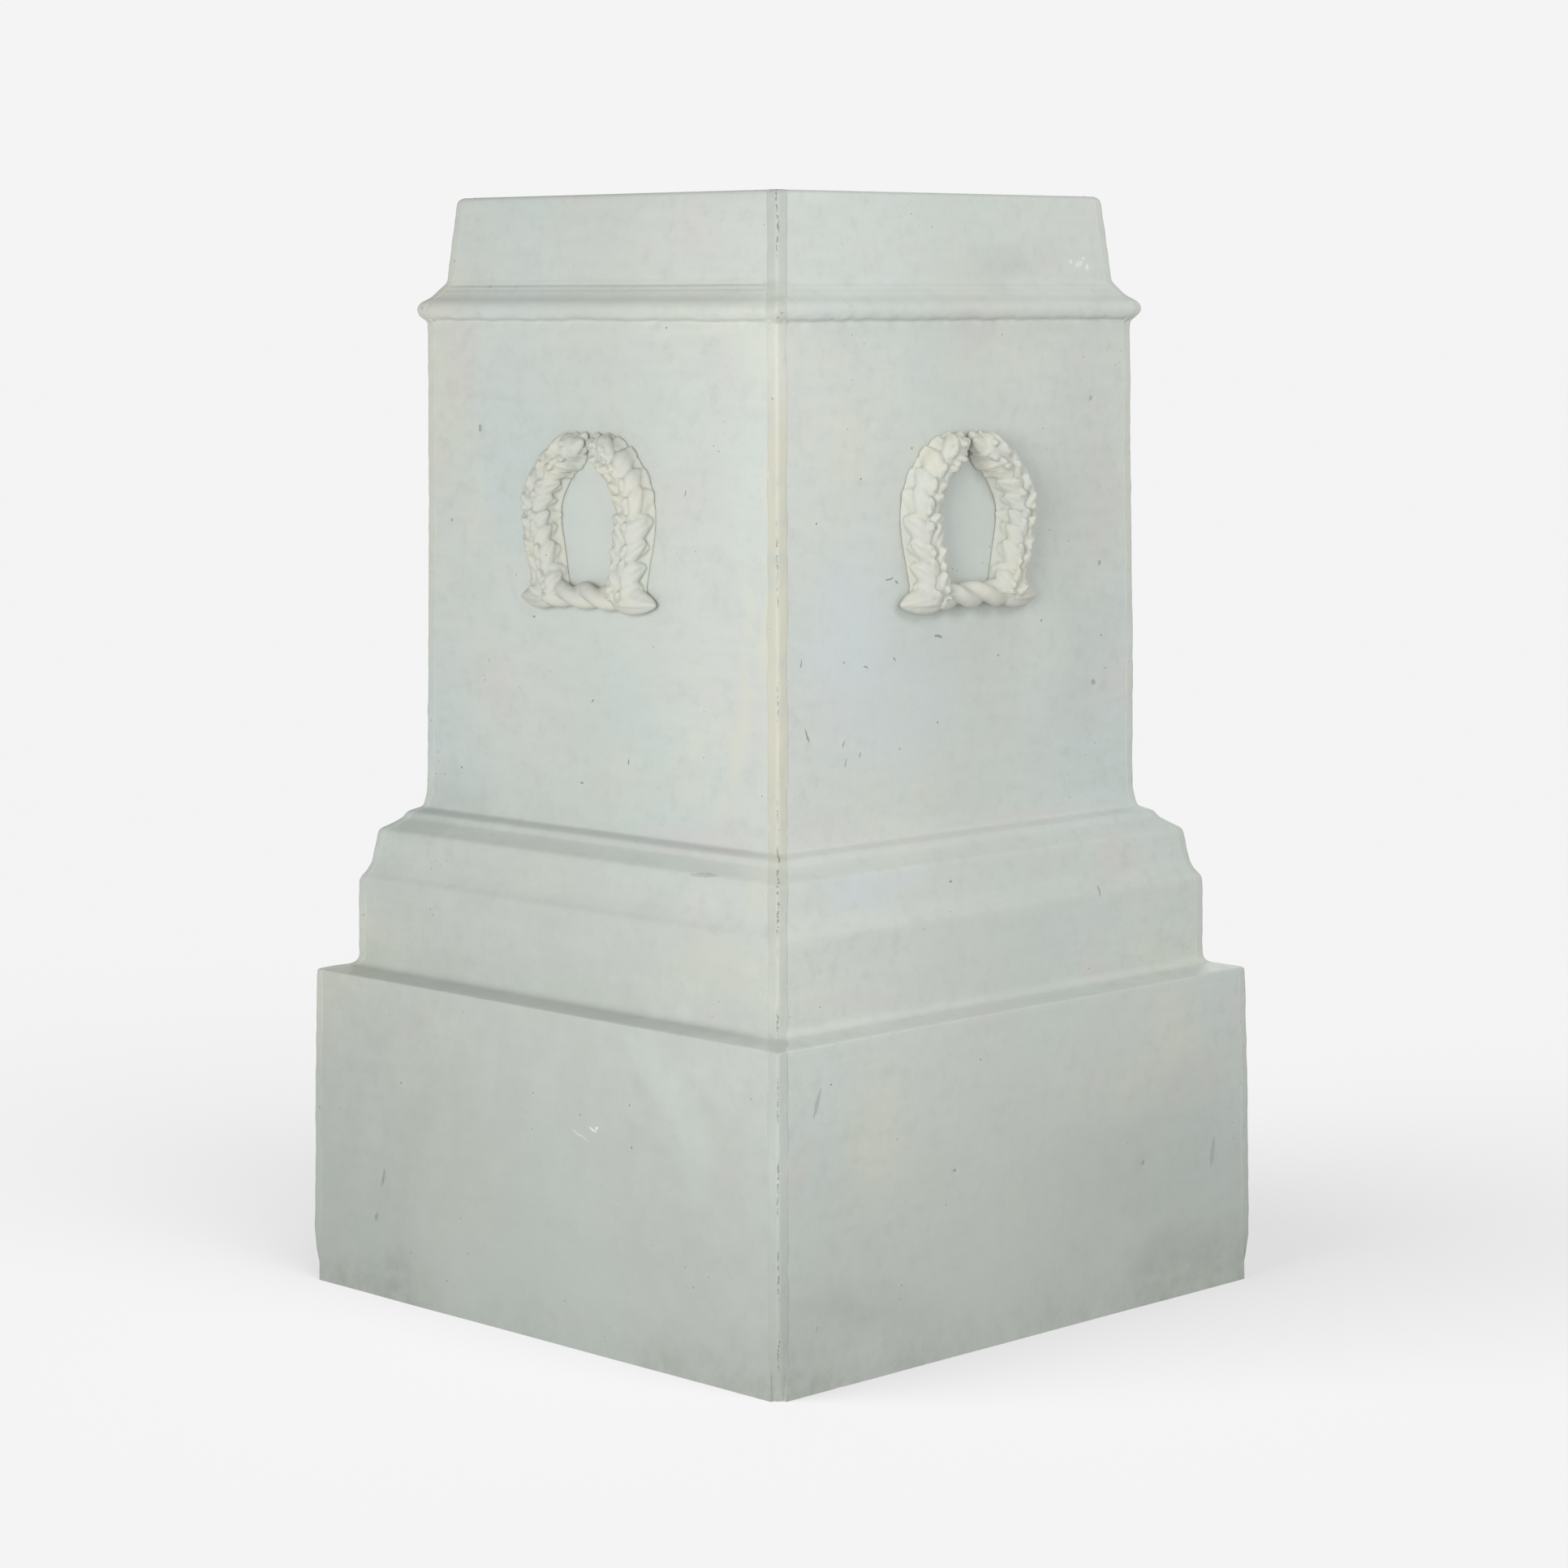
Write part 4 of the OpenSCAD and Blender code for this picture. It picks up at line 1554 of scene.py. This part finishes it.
@dataclass
class Wreath:
    """One casting of the wreath, planted on a face."""

    section: Section
    mould: WreathMould
    side: Side
    finish: Finish
    mended: tuple[float, float, float] | None = None
    wave: float = 0.006
    rough_waves: tuple[float, float] = (0.0042, 0.0022)

    def build(self, casting: Shape) -> Piece:
        """Sets a copy of the casting on this side's die.

        Args:
            casting: The wreath as it comes from the mould.

        Returns:
            The wreath.
        """
        shape = casting.copy()
        centre = self.mould.centre_z * MM
        coarse, fine = self.rough_waves
        moves = []
        for vertex in shape.verts:
            spot = vertex.co / self.wave + Vector((self.side.value * 9.0, 0, 0))
            push = 0.28 * noise.noise(spot)
            if self.mended:
                across, height, radius = self.mended
                away = math.hypot(vertex.co.x / MM - across, vertex.co.z / MM - height) / radius
                if away < 1:
                    rough = noise.noise(vertex.co / coarse) + 0.6 * noise.noise(vertex.co / fine)
                    push += (0.6 + 1.5 * rough) * (1 - away**2)
            moves.append(vertex.co + vertex.normal * push * MM)
        for vertex, move in zip(shape.verts, moves):
            height = move.z + centre
            vertex.co = Vector((move.x, -(self.section.die_face(height) + move.y), height))
        face_outwards(shape)
        bmesh.ops.transform(shape, matrix=self.side.turn, verts=shape.verts)
        name = self.side.name.lower()
        nodes = [f"wreath_{name}"]
        return settle(shape, f"{name}_laurel_wreath", self.finish, nodes, 180.0)


# ---------------------------------------------------------------- top, wads, timber and screws


@dataclass
class TopSlab:
    """The cast slab let in between the panels at the top."""

    finish: Finish
    arris: float = 2.0 * MM
    cuts: int = 60

    def build(self) -> Piece:
        """Makes the slab."""
        low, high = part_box("top_slab")
        shape = bmesh.new()
        bmesh.ops.create_cube(shape, size=1.0)
        bmesh.ops.scale(shape, vec=high - low, verts=shape.verts)
        bmesh.ops.translate(shape, vec=(high + low) / 2, verts=shape.verts)
        bmesh.ops.bevel(shape, geom=shape.edges, offset=self.arris, segments=3, profile=0.5, affect="EDGES",
                        material=-1)
        long = [e for e in shape.edges if e.calc_length() > (high - low).x / 2]
        bmesh.ops.subdivide_edges(shape, edges=long, cuts=self.cuts, use_grid_fill=True)
        for vertex in shape.verts:
            if vertex.co.z > high.z - self.arris / 2:
                hollow = 0.5 + 0.5 * noise.noise(vertex.co / 0.06)
                vertex.co.z -= 0.7 * MM * hollow
        return settle(shape, "cast_top_slab", self.finish, ["top_slab"])


@dataclass
class Wads:
    """The handfuls of plaster and scrim that hold the panels to the frame at one corner."""

    corner: Corner
    finish: Finish
    voxel: float = 3.5 * MM
    lump: float = 2.6 * MM
    lump_waves: tuple[float, float] = (0.022, 0.008)

    def build(self) -> Piece:
        """Makes the wads."""
        node = f"plaster_wads_{self.corner.name.lower()}"
        shape = modified(
            copy_of_node(node),
            {"type": "REMESH", "mode": "VOXEL", "voxel_size": self.voxel, "adaptivity": 0.0},
            {"type": "SMOOTH", "factor": 0.5, "iterations": 6},
        )
        shape.normal_update()
        low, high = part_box(node)
        coarse, fine = self.lump_waves
        for vertex in shape.verts:
            rough = noise.noise(vertex.co / coarse) + 0.5 * noise.noise(vertex.co / fine)
            moved = vertex.co + vertex.normal * rough * self.lump
            vertex.co = Vector(min(max(m, a), b) for m, a, b in zip(moved, low, high))
        name = f"{self.corner.name.lower()}_wads"
        return settle(shape, name, self.finish, [node], 180.0)


@dataclass
class Timber:
    """The softwood frame and the plywood board, which keep the shapes that they have."""

    levels: tuple[str, ...] = ("top", "waist", "base")
    bearers: tuple[str, ...] = ("base_bearer_left", "base_bearer_right")

    def rails(self, *sides: str) -> tuple[str, ...]:
        """The rails on the given sides, at every level."""
        return tuple(f"{level}_rail_{side}" for level in self.levels for side in sides)

    @staticmethod
    def dress(node: str, finish: Finish) -> None:
        """Gives a CAD node its finish."""
        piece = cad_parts[node]
        if not piece.material_slots:
            piece.data.materials.append(finish)
        for slot in piece.material_slots:
            slot.material = finish
        LOG.info("%s: %s", node, finish.name)

    def build(self) -> None:
        """Dresses every board and batten."""
        groups = {
            Grain.Z: tuple(f"corner_post_{corner.name.lower()}" for corner in Corner),
            Grain.X: self.rails("front", "back"),
            Grain.Y: self.rails("right", "left") + self.bearers,
        }
        for grain, nodes in groups.items():
            finish = Softwood(grain).build()
            for node in nodes:
                self.dress(node, finish)
        _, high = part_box("top_board")
        self.dress("top_board", Plywood(top=high.z).build())


@dataclass
class Screws:
    """A group of countersunk wood screws, set where the CAD screws are."""

    node: str
    finish: Finish
    head_r: float = 5.0 * MM
    shank_r: float = 2.5 * MM
    thread_pitch: float = 2.6 * MM
    thread_root: float = 0.72
    plain_share: float = 0.35
    point_h: float = 4.0 * MM
    point_r: float = 0.2 * MM
    recess: float = 2.2 * MM

    def places(self) -> list[tuple[Vector, Vector, float]]:
        """Head, direction and length of each screw, read from the CAD node's loose solids."""
        shape, found = copy_of_node(self.node), []
        for island in islands(shape):
            points = [vertex.co.copy() for vertex in island]
            low = Vector(min(p[k] for p in points) for k in range(3))
            high = Vector(max(p[k] for p in points) for k in range(3))
            axis = max(range(3), key=lambda k: high[k] - low[k])
            middle = (low + high) / 2
            wide = max(points, key=lambda p: (p - middle - (p - middle).project(unit(axis))).length)
            length = high[axis] - low[axis]
            direction = unit(axis) * (-1 if wide[axis] > middle[axis] else 1)
            found.append((middle - direction * length / 2, direction, length))
        shape.free()
        return found

    def screw(self, length: float) -> Shape:
        """One screw along -Z, with its head's face at the origin.

        Args:
            length: Its whole length.

        Returns:
            The screw.
        """
        around = 16
        head_h = self.head_r - self.shank_r
        levels = [0.0, head_h]
        threads = int((length * (1 - self.plain_share)) / self.thread_pitch * 2)
        start = length * self.plain_share
        levels += [start + (length - start - self.point_h) * i / threads for i in range(threads + 1)]

        def place(step: int, level: int) -> Vector:
            """Point of the shank's skin."""
            angle = math.tau * step / around
            radius = self.head_r if level == 0 else self.shank_r
            if level > 2:
                radius = self.shank_r * (1.0 if level % 2 else self.thread_root)
            if level == len(levels):
                return Vector((self.point_r * math.cos(angle), self.point_r * math.sin(angle), -length))
            return Vector((radius * math.cos(angle), radius * math.sin(angle), -levels[level]))

        body = wrapped_grid(around, len(levels), place)
        top = [f for f in body.faces if all(v.co.z > -WELD for v in f.verts)]
        bmesh.ops.dissolve_faces(body, faces=top)
        top = [f for f in body.faces if all(v.co.z > -WELD for v in f.verts)]
        bmesh.ops.inset_region(body, faces=top, thickness=self.head_r * 0.45, use_even_offset=True)
        inner = [f for f in top if f.is_valid]
        for face in inner:
            for vertex in face.verts:
                angle = math.atan2(vertex.co.y, vertex.co.x)
                radius = self.head_r * (0.22 + 0.36 * max(0.0, math.cos(4 * angle)))
                vertex.co = Vector((radius * math.cos(angle), radius * math.sin(angle), 0))
        bmesh.ops.inset_region(body, faces=inner, thickness=0.05 * MM, depth=-self.recess)
        face_outwards(body)
        return body

    def build(self) -> Piece:
        """Makes the whole group."""
        shape = bmesh.new()
        for head, direction, length in self.places():
            one = self.screw(length)
            turn = Vector((0, 0, -1)).rotation_difference(direction).to_matrix().to_4x4()
            bmesh.ops.transform(one, matrix=Matrix.Translation(head) @ turn, verts=one.verts)
            join(shape, one)
        return settle(shape, f"{self.node}_threaded", self.finish, [self.node], 35.0)


def unit(axis: int) -> Vector:
    """Unit vector along one axis."""
    return Vector(1.0 if k == axis else 0.0 for k in range(3))


# ---------------------------------------------------------------- studio


@dataclass(frozen=True)
class SoftBox:
    """A square soft box that faces the pedestal and lights nothing else."""

    name: str
    turn: float
    distance: float
    height: float
    power: float
    size: float = 0.9
    aim: float = 0.62

    def build(self, spared: Piece) -> None:
        """Hangs the soft box.

        Args:
            spared: The floor, which it leaves unlit.
        """
        lamp = bpy.data.lights.new(self.name, "AREA")
        lamp.energy = self.power
        lamp.size = self.size
        holder = bpy.data.objects.new(self.name, lamp)
        turn = math.radians(self.turn)
        place = Vector((self.distance * math.sin(turn), -self.distance * math.cos(turn), self.height))
        facing = (Vector((0, 0, self.aim)) - place).to_track_quat("-Z", "Y").to_matrix().to_4x4()
        holder.matrix_world = Matrix.Translation(place) @ facing
        holder.visible_camera = False
        bpy.context.scene.collection.objects.link(holder)
        link_light(holder, spared, "EXCLUDE")


def link_light(holder: Piece, target: Piece, state: str) -> None:
    """Makes a lamp leave one object out, or light only that one."""
    group = bpy.data.collections.new(f"{holder.name}_links")
    group.objects.link(target)
    group.collection_objects[0].light_linking.link_state = state
    holder.light_linking.receiver_collection = group


@dataclass
class Studio:
    """A pale sweep under a pale horizon, soft boxes round the pedestal, and the camera."""

    turn: float = 45.364
    distance: float = 3.730
    height: float = 0.9114
    pitch: float = 6.830
    yaw: float = -0.052
    roll: float = -0.141
    lens: float = 93.63
    horizon: str = "#f4f4f4"
    ceiling: str = "#949494"
    below: str = "#bcbcbc"
    boxes: tuple[SoftBox, ...] = (
        SoftBox("key_box", 29.0, 2.15, 0.85, 23.5, 0.8),
        SoftBox("side_box", 94.0, 2.0, 1.9, 10.0, 0.8),
        SoftBox("top_box", 125.0, 0.9, 2.9, 9.0, 0.8),
        SoftBox("back_box", 215.0, 2.4, 1.4, 40.0, 1.2),
    )
    lamp_strength: float = 2.5
    lamp_angle: float = 46.0
    lamp_turns: tuple[float, float] = (-20.0, 78.0)
    lamp_lift: float = 50.0
    floor_half: float = 60.0

    def camera(self) -> None:
        """Sets up the camera."""
        turn = math.radians(self.turn)
        heading = math.radians(self.turn + self.yaw)
        down, roll = math.radians(self.pitch), math.radians(self.roll)
        right = Vector((math.cos(heading), math.sin(heading), 0))
        level = Vector((-math.sin(heading), math.cos(heading), 0))
        ahead = level * math.cos(down) - Vector((0, 0, math.sin(down)))
        up = right.cross(ahead)
        across = right * math.cos(roll) + up * math.sin(roll)
        top = up * math.cos(roll) - right * math.sin(roll)
        data = bpy.data.cameras.new("camera")
        data.lens = self.lens
        data.sensor_width = 36.0
        data.clip_end = 200.0
        camera = bpy.data.objects.new("camera", data)
        place = Vector((self.distance * math.sin(turn), -self.distance * math.cos(turn), self.height))
        axes = Matrix((across, top, -ahead)).transposed().to_4x4()
        camera.matrix_world = Matrix.Translation(place) @ axes
        bpy.context.scene.collection.objects.link(camera)
        bpy.context.scene.camera = camera

    def air(self) -> None:
        """Sets up a pale horizon all round, which dulls towards the ceiling and a little below."""
        world = bpy.data.worlds.new("studio_air")
        world.use_nodes = True
        tree = world.node_tree
        way = add(tree, "ShaderNodeTexCoord").outputs["Generated"]
        lift = add(tree, "ShaderNodeSeparateXYZ", {0: way}).outputs[2]
        low, high = math.sin(math.radians(7)), math.sin(math.radians(25))
        colour = tint(tree, ease(tree, lift, low, high), linear(self.horizon), linear(self.ceiling))
        colour = tint(tree, ease(tree, lift, -low, -high), colour, linear(self.below))
        tree.links.new(colour, tree.nodes["Background"].inputs["Color"])
        bpy.context.scene.world = world
        bpy.context.scene.view_settings.view_transform = "Standard"

    def light(self, floor: Piece) -> None:
        """Hangs the soft boxes, and two broad lamps that draw the soft shadows on the floor.

        Args:
            floor: The sweep.
        """
        for box in self.boxes:
            box.build(floor)
        tilt = Matrix.Rotation(math.radians(90 - self.lamp_lift), 4, "X")
        for number, turn in enumerate(self.lamp_turns):
            lamp = bpy.data.lights.new(f"broad_lamp_{number}", "SUN")
            lamp.energy = self.lamp_strength
            lamp.angle = math.radians(self.lamp_angle)
            holder = bpy.data.objects.new(lamp.name, lamp)
            holder.matrix_world = Matrix.Rotation(math.radians(turn), 4, "Z") @ tilt
            bpy.context.scene.collection.objects.link(holder)
            link_light(holder, floor, "INCLUDE")

    def floor(self) -> Piece:
        """Lays the sweep."""
        shape = bmesh.new()
        bmesh.ops.create_grid(shape, x_segments=8, y_segments=8, size=self.floor_half)
        mesh = bpy.data.meshes.new("sweep")
        shape.to_mesh(mesh)
        shape.free()
        mesh.materials.append(StudioSweep().build())
        floor = bpy.data.objects.new("sweep", mesh)
        floor.visible_diffuse = False
        bpy.context.scene.collection.objects.link(floor)
        return floor

    def build(self) -> None:
        """Sets up everything that isn't the pedestal."""
        self.camera()
        self.air()
        self.light(self.floor())


# ---------------------------------------------------------------- the whole pedestal

FRONT_MARKS = (
    Mark(-154, 794, 3.4, 2.4, 80, strength=0.65),
    Mark(116, 744, 2.6, 0.7, 85),
    Mark(-207, 112, 9, 1.6, 75, strength=0.5),
    Mark(-217, 73, 4, 2.0, 70, strength=0.5),
    Mark(-80, 628, 1.6, 1.2),
    Mark(-194, 710, 2.0, 1.4, strength=0.6),
    Mark(-2, 558, 2.0, 0.8, 40),
    Mark(45, 507, 2.8, 0.7, 80),
    Mark(-16, 484, 1.8, 1.0),
    Mark(173, 424, 16, 1.8, 4, strength=0.3),
    Mark(79, 197, 5.0, 1.0, -25, pale=True),
    Mark(84, 199, 2.0, 1.4, 60, pale=True),
    Mark(62, 190, 12, 1.0, -20, pale=True, strength=0.25),
)
RIGHT_MARKS = (
    Mark(-93, 669, 5.0, 0.7, 8),
    Mark(-84, 666, 2.4, 0.7, -30),
    Mark(-32, 616, 5.5, 1.1, -14),
    Mark(-123, 595, 3.0, 0.7, -25),
    Mark(-88, 600, 2.6, 0.5, -60),
    Mark(-201, 603, 3.2, 0.7, 80),
    Mark(-195, 541, 6.0, 0.9, -70),
    Mark(-151, 531, 3.0, 0.6, 70),
    Mark(-148, 515, 4.0, 0.7, 75),
    Mark(-131, 520, 2.6, 0.6, 85),
    Mark(183, 670, 2.6, 2.2, strength=0.55),
    Mark(174, 562, 3.0, 2.4, strength=0.6),
    Mark(171, 819, 2.6, 2.0, strength=0.5),
    Mark(131, 379, 5.0, 0.8, 88),
    Mark(-55, 406, 1.8, 1.0),
    Mark(-259, 245, 14, 2.0, 70, strength=0.35),
    Mark(-93, 163, 2.2, 1.6, strength=0.6),
    Mark(157, 132, 2.8, 1.8, 30, strength=0.55),
    Mark(255, 127, 14, 3.0, 80, strength=0.3),
    Mark(169, 939, 6.0, 3.0, 20, pale=True, strength=0.35),
    Mark(158, 941, 2.6, 1.6, -20, pale=True, strength=0.5),
    Mark(180, 936, 3.0, 2.0, 60, pale=True, strength=0.5),
    Mark(175, 944, 2.0, 1.2, 10, pale=True, strength=0.5),
)
# The dull wash is laid mostly as painted shade: over the lower parts, at the foot and towards the far
# corners.
# The pale wash is pale paint in smears, and painted light where it lies inside a wreath's ring.
YELLOW, ROSE, SKY, PALE_AND_LIGHT, DULL_AND_SHADE = "#d1d0c0", "#cbc8c7", "#c6ced1", "#ced5d1", "#a8aea6"
FRONT_WASHES = (
    Wash(222, 690, 210, 9, YELLOW, 0.7, 90),
    Wash(192, 590, 120, 10, YELLOW, 0.45, 84),
    Wash(178, 520, 60, 14, YELLOW, 0.4, 80),
    Wash(205, 350, 75, 24, YELLOW, 0.45, 8),
    Wash(238, 415, 22, 12, YELLOW, 0.5, 60),
    Wash(140, 449, 120, 12, ROSE, 0.7),
    Wash(190, 312, 110, 10, ROSE, 0.6),
    Wash(107, 949, 90, 26, ROSE, 0.35),
    Wash(-20, 690, 60, 60, ROSE, 0.25),
    Wash(195, 215, 95, 17, PALE_AND_LIGHT, 0.85, -58),
    Wash(150, 262, 46, 14, PALE_AND_LIGHT, 0.6, -35),
    # Painted shade towards the far left corner.
    Wash(-200, 447, 60, 40, DULL_AND_SHADE, 0.3),
    Wash(205, 795, 150, 50, PALE_AND_LIGHT, 0.4, 90),
    # Painted shade over the lower front.
    Wash(0, 190, 620, 330, DULL_AND_SHADE, 0.42),
    # Painted light inside the wreath's ring, where its branches shade the face.
    Wash(0, 700, 80, 46, PALE_AND_LIGHT, 0.6, 90),
)
RIGHT_WASHES = (
    Wash(-140, 620, 120, 70, SKY, 0.75, 90),
    Wash(-60, 560, 110, 60, SKY, 0.6, 60),
    Wash(-190, 800, 130, 40, SKY, 0.35, 90),
    Wash(-150, 415, 70, 13, SKY, 0.7),
    Wash(40, 445, 200, 11, ROSE, 0.6),
    Wash(-190, 455, 70, 14, ROSE, 0.6),
    Wash(-160, 315, 110, 10, ROSE, 0.5),
    # The next five darken the face: painted shade towards the far corner, low down and at the foot, and a
    # duller patch on the neck.
    Wash(150, 700, 200, 60, DULL_AND_SHADE, 0.2, 90),
    Wash(120, 130, 170, 60, DULL_AND_SHADE, 0.25),
    Wash(75, 940, 90, 22, DULL_AND_SHADE, 0.25, 3),
    Wash(202, 44, 80, 26, DULL_AND_SHADE, 0.5, 8),
    Wash(-200, 60, 110, 24, DULL_AND_SHADE, 0.45, -6),
    # Painted light inside the wreath's ring, where its branches shade the face.
    Wash(0, 700, 80, 46, PALE_AND_LIGHT, 0.9, 90),
)
BACK_WASHES = (
    Wash(120, 600, 140, 60, SKY, 0.5, 80),
    Wash(-80, 450, 160, 12, ROSE, 0.5),
    # Painted shade low on the face.
    Wash(40, 130, 190, 50, DULL_AND_SHADE, 0.3, -5),
)
LEFT_WASHES = (
    Wash(-120, 680, 130, 50, SKY, 0.45, 95),
    Wash(60, 350, 140, 24, YELLOW, 0.3),
    # Painted shade low on the face.
    Wash(-60, 140, 190, 60, DULL_AND_SHADE, 0.3, 6),
)
FRONT_DENTS = (
    Dent(-154, 794, 6, 1.1),
    Dent(-207, 112, 9, 0.9),
    Dent(-217, 75, 7, 0.8),
    Dent(-194, 710, 5, 0.6),
)
RIGHT_DENTS = (
    Dent(-115, 804, 9, 0.8),
    Dent(183, 670, 6, 0.7),
    Dent(174, 562, 7, 1.0),
    Dent(171, 819, 6, 0.7),
    Dent(-93, 163, 5, 0.7),
    Dent(157, 132, 7, 0.8),
    Dent(96, 980, 7, 0.6),
)
RIGHT_WRINKLES = (
    Wrinkle(-150, 522, 24, 1.0),
    Wrinkle(-124, 462, 26, 0.9),
    Wrinkle(-259, 245, 30, 0.9),
    Wrinkle(255, 127, 30, 0.8),
    Wrinkle(-190, 25, 26, 1.2),
)
# How far the wreaths sit above the middle of the die, and the rough mend on the front one: across, up and
# radius, all in mm.
WREATH_LIFT = 37.5
WREATH_MEND = (36.0, 46.0, 15.0)
WEAR = {
    Side.FRONT: Wear(FRONT_WASHES, FRONT_MARKS, FRONT_DENTS),
    Side.RIGHT: Wear(RIGHT_WASHES, RIGHT_MARKS, RIGHT_DENTS, RIGHT_WRINKLES, groove_depth=0.5),
    Side.BACK: Wear(BACK_WASHES),
    Side.LEFT: Wear(LEFT_WASHES),
}


def main() -> None:
    """Builds the pedestal's pieces in order and reports each one."""
    logging.basicConfig(level=logging.INFO, format="%(name)s: %(message)s")
    studio = Studio()
    studio.build()
    _, panel_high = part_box("panel_right")
    section = Section(plinth_foot=panel_high.x / MM, total_h=panel_high.z / MM)
    surface = Surface(section)

    for side in Side:
        wear = WEAR[side]
        finish = PaintedPlaster(f"painted_plaster_{side.name.lower()}", side, wear.marks, wear.washes).build()
        Panel(section, surface, side, finish, wear).build()

    # The front right stopping is stained, and darker still as painted shade on the corner that the key light
    # strikes square.
    stained = CornerStopping("corner_stopping_stained_shaded", stained=0.8, body="#b9beb7").build()
    clean = CornerStopping("corner_stopping_clean", stained=0.2).build()
    for corner in Corner:
        stopping_finish = stained if corner is Corner.FRONT_RIGHT else clean
        Stopping(section, surface, corner, stopping_finish).build()

    wreath_plaster = WreathPlaster().build()
    mould = WreathMould(centre_z=(section.die_z + section.torus_z) / 2 + WREATH_LIFT)
    casting = mould.cast()
    for side in Side:
        mended = WREATH_MEND if side is Side.FRONT else None
        Wreath(section, mould, side, wreath_plaster, mended).build(casting)
    casting.free()

    TopSlab(PaintedPlaster("painted_plaster_top").build()).build()
    raw = RawPlaster().build()
    for corner in Corner:
        Wads(corner, raw).build()
    Timber().build()
    steel = PlatedSteel().build()
    for node in ("board_screws", "frame_screws", "base_screws"):
        Screws(node, steel).build()


if __name__ == "__main__":
    main()
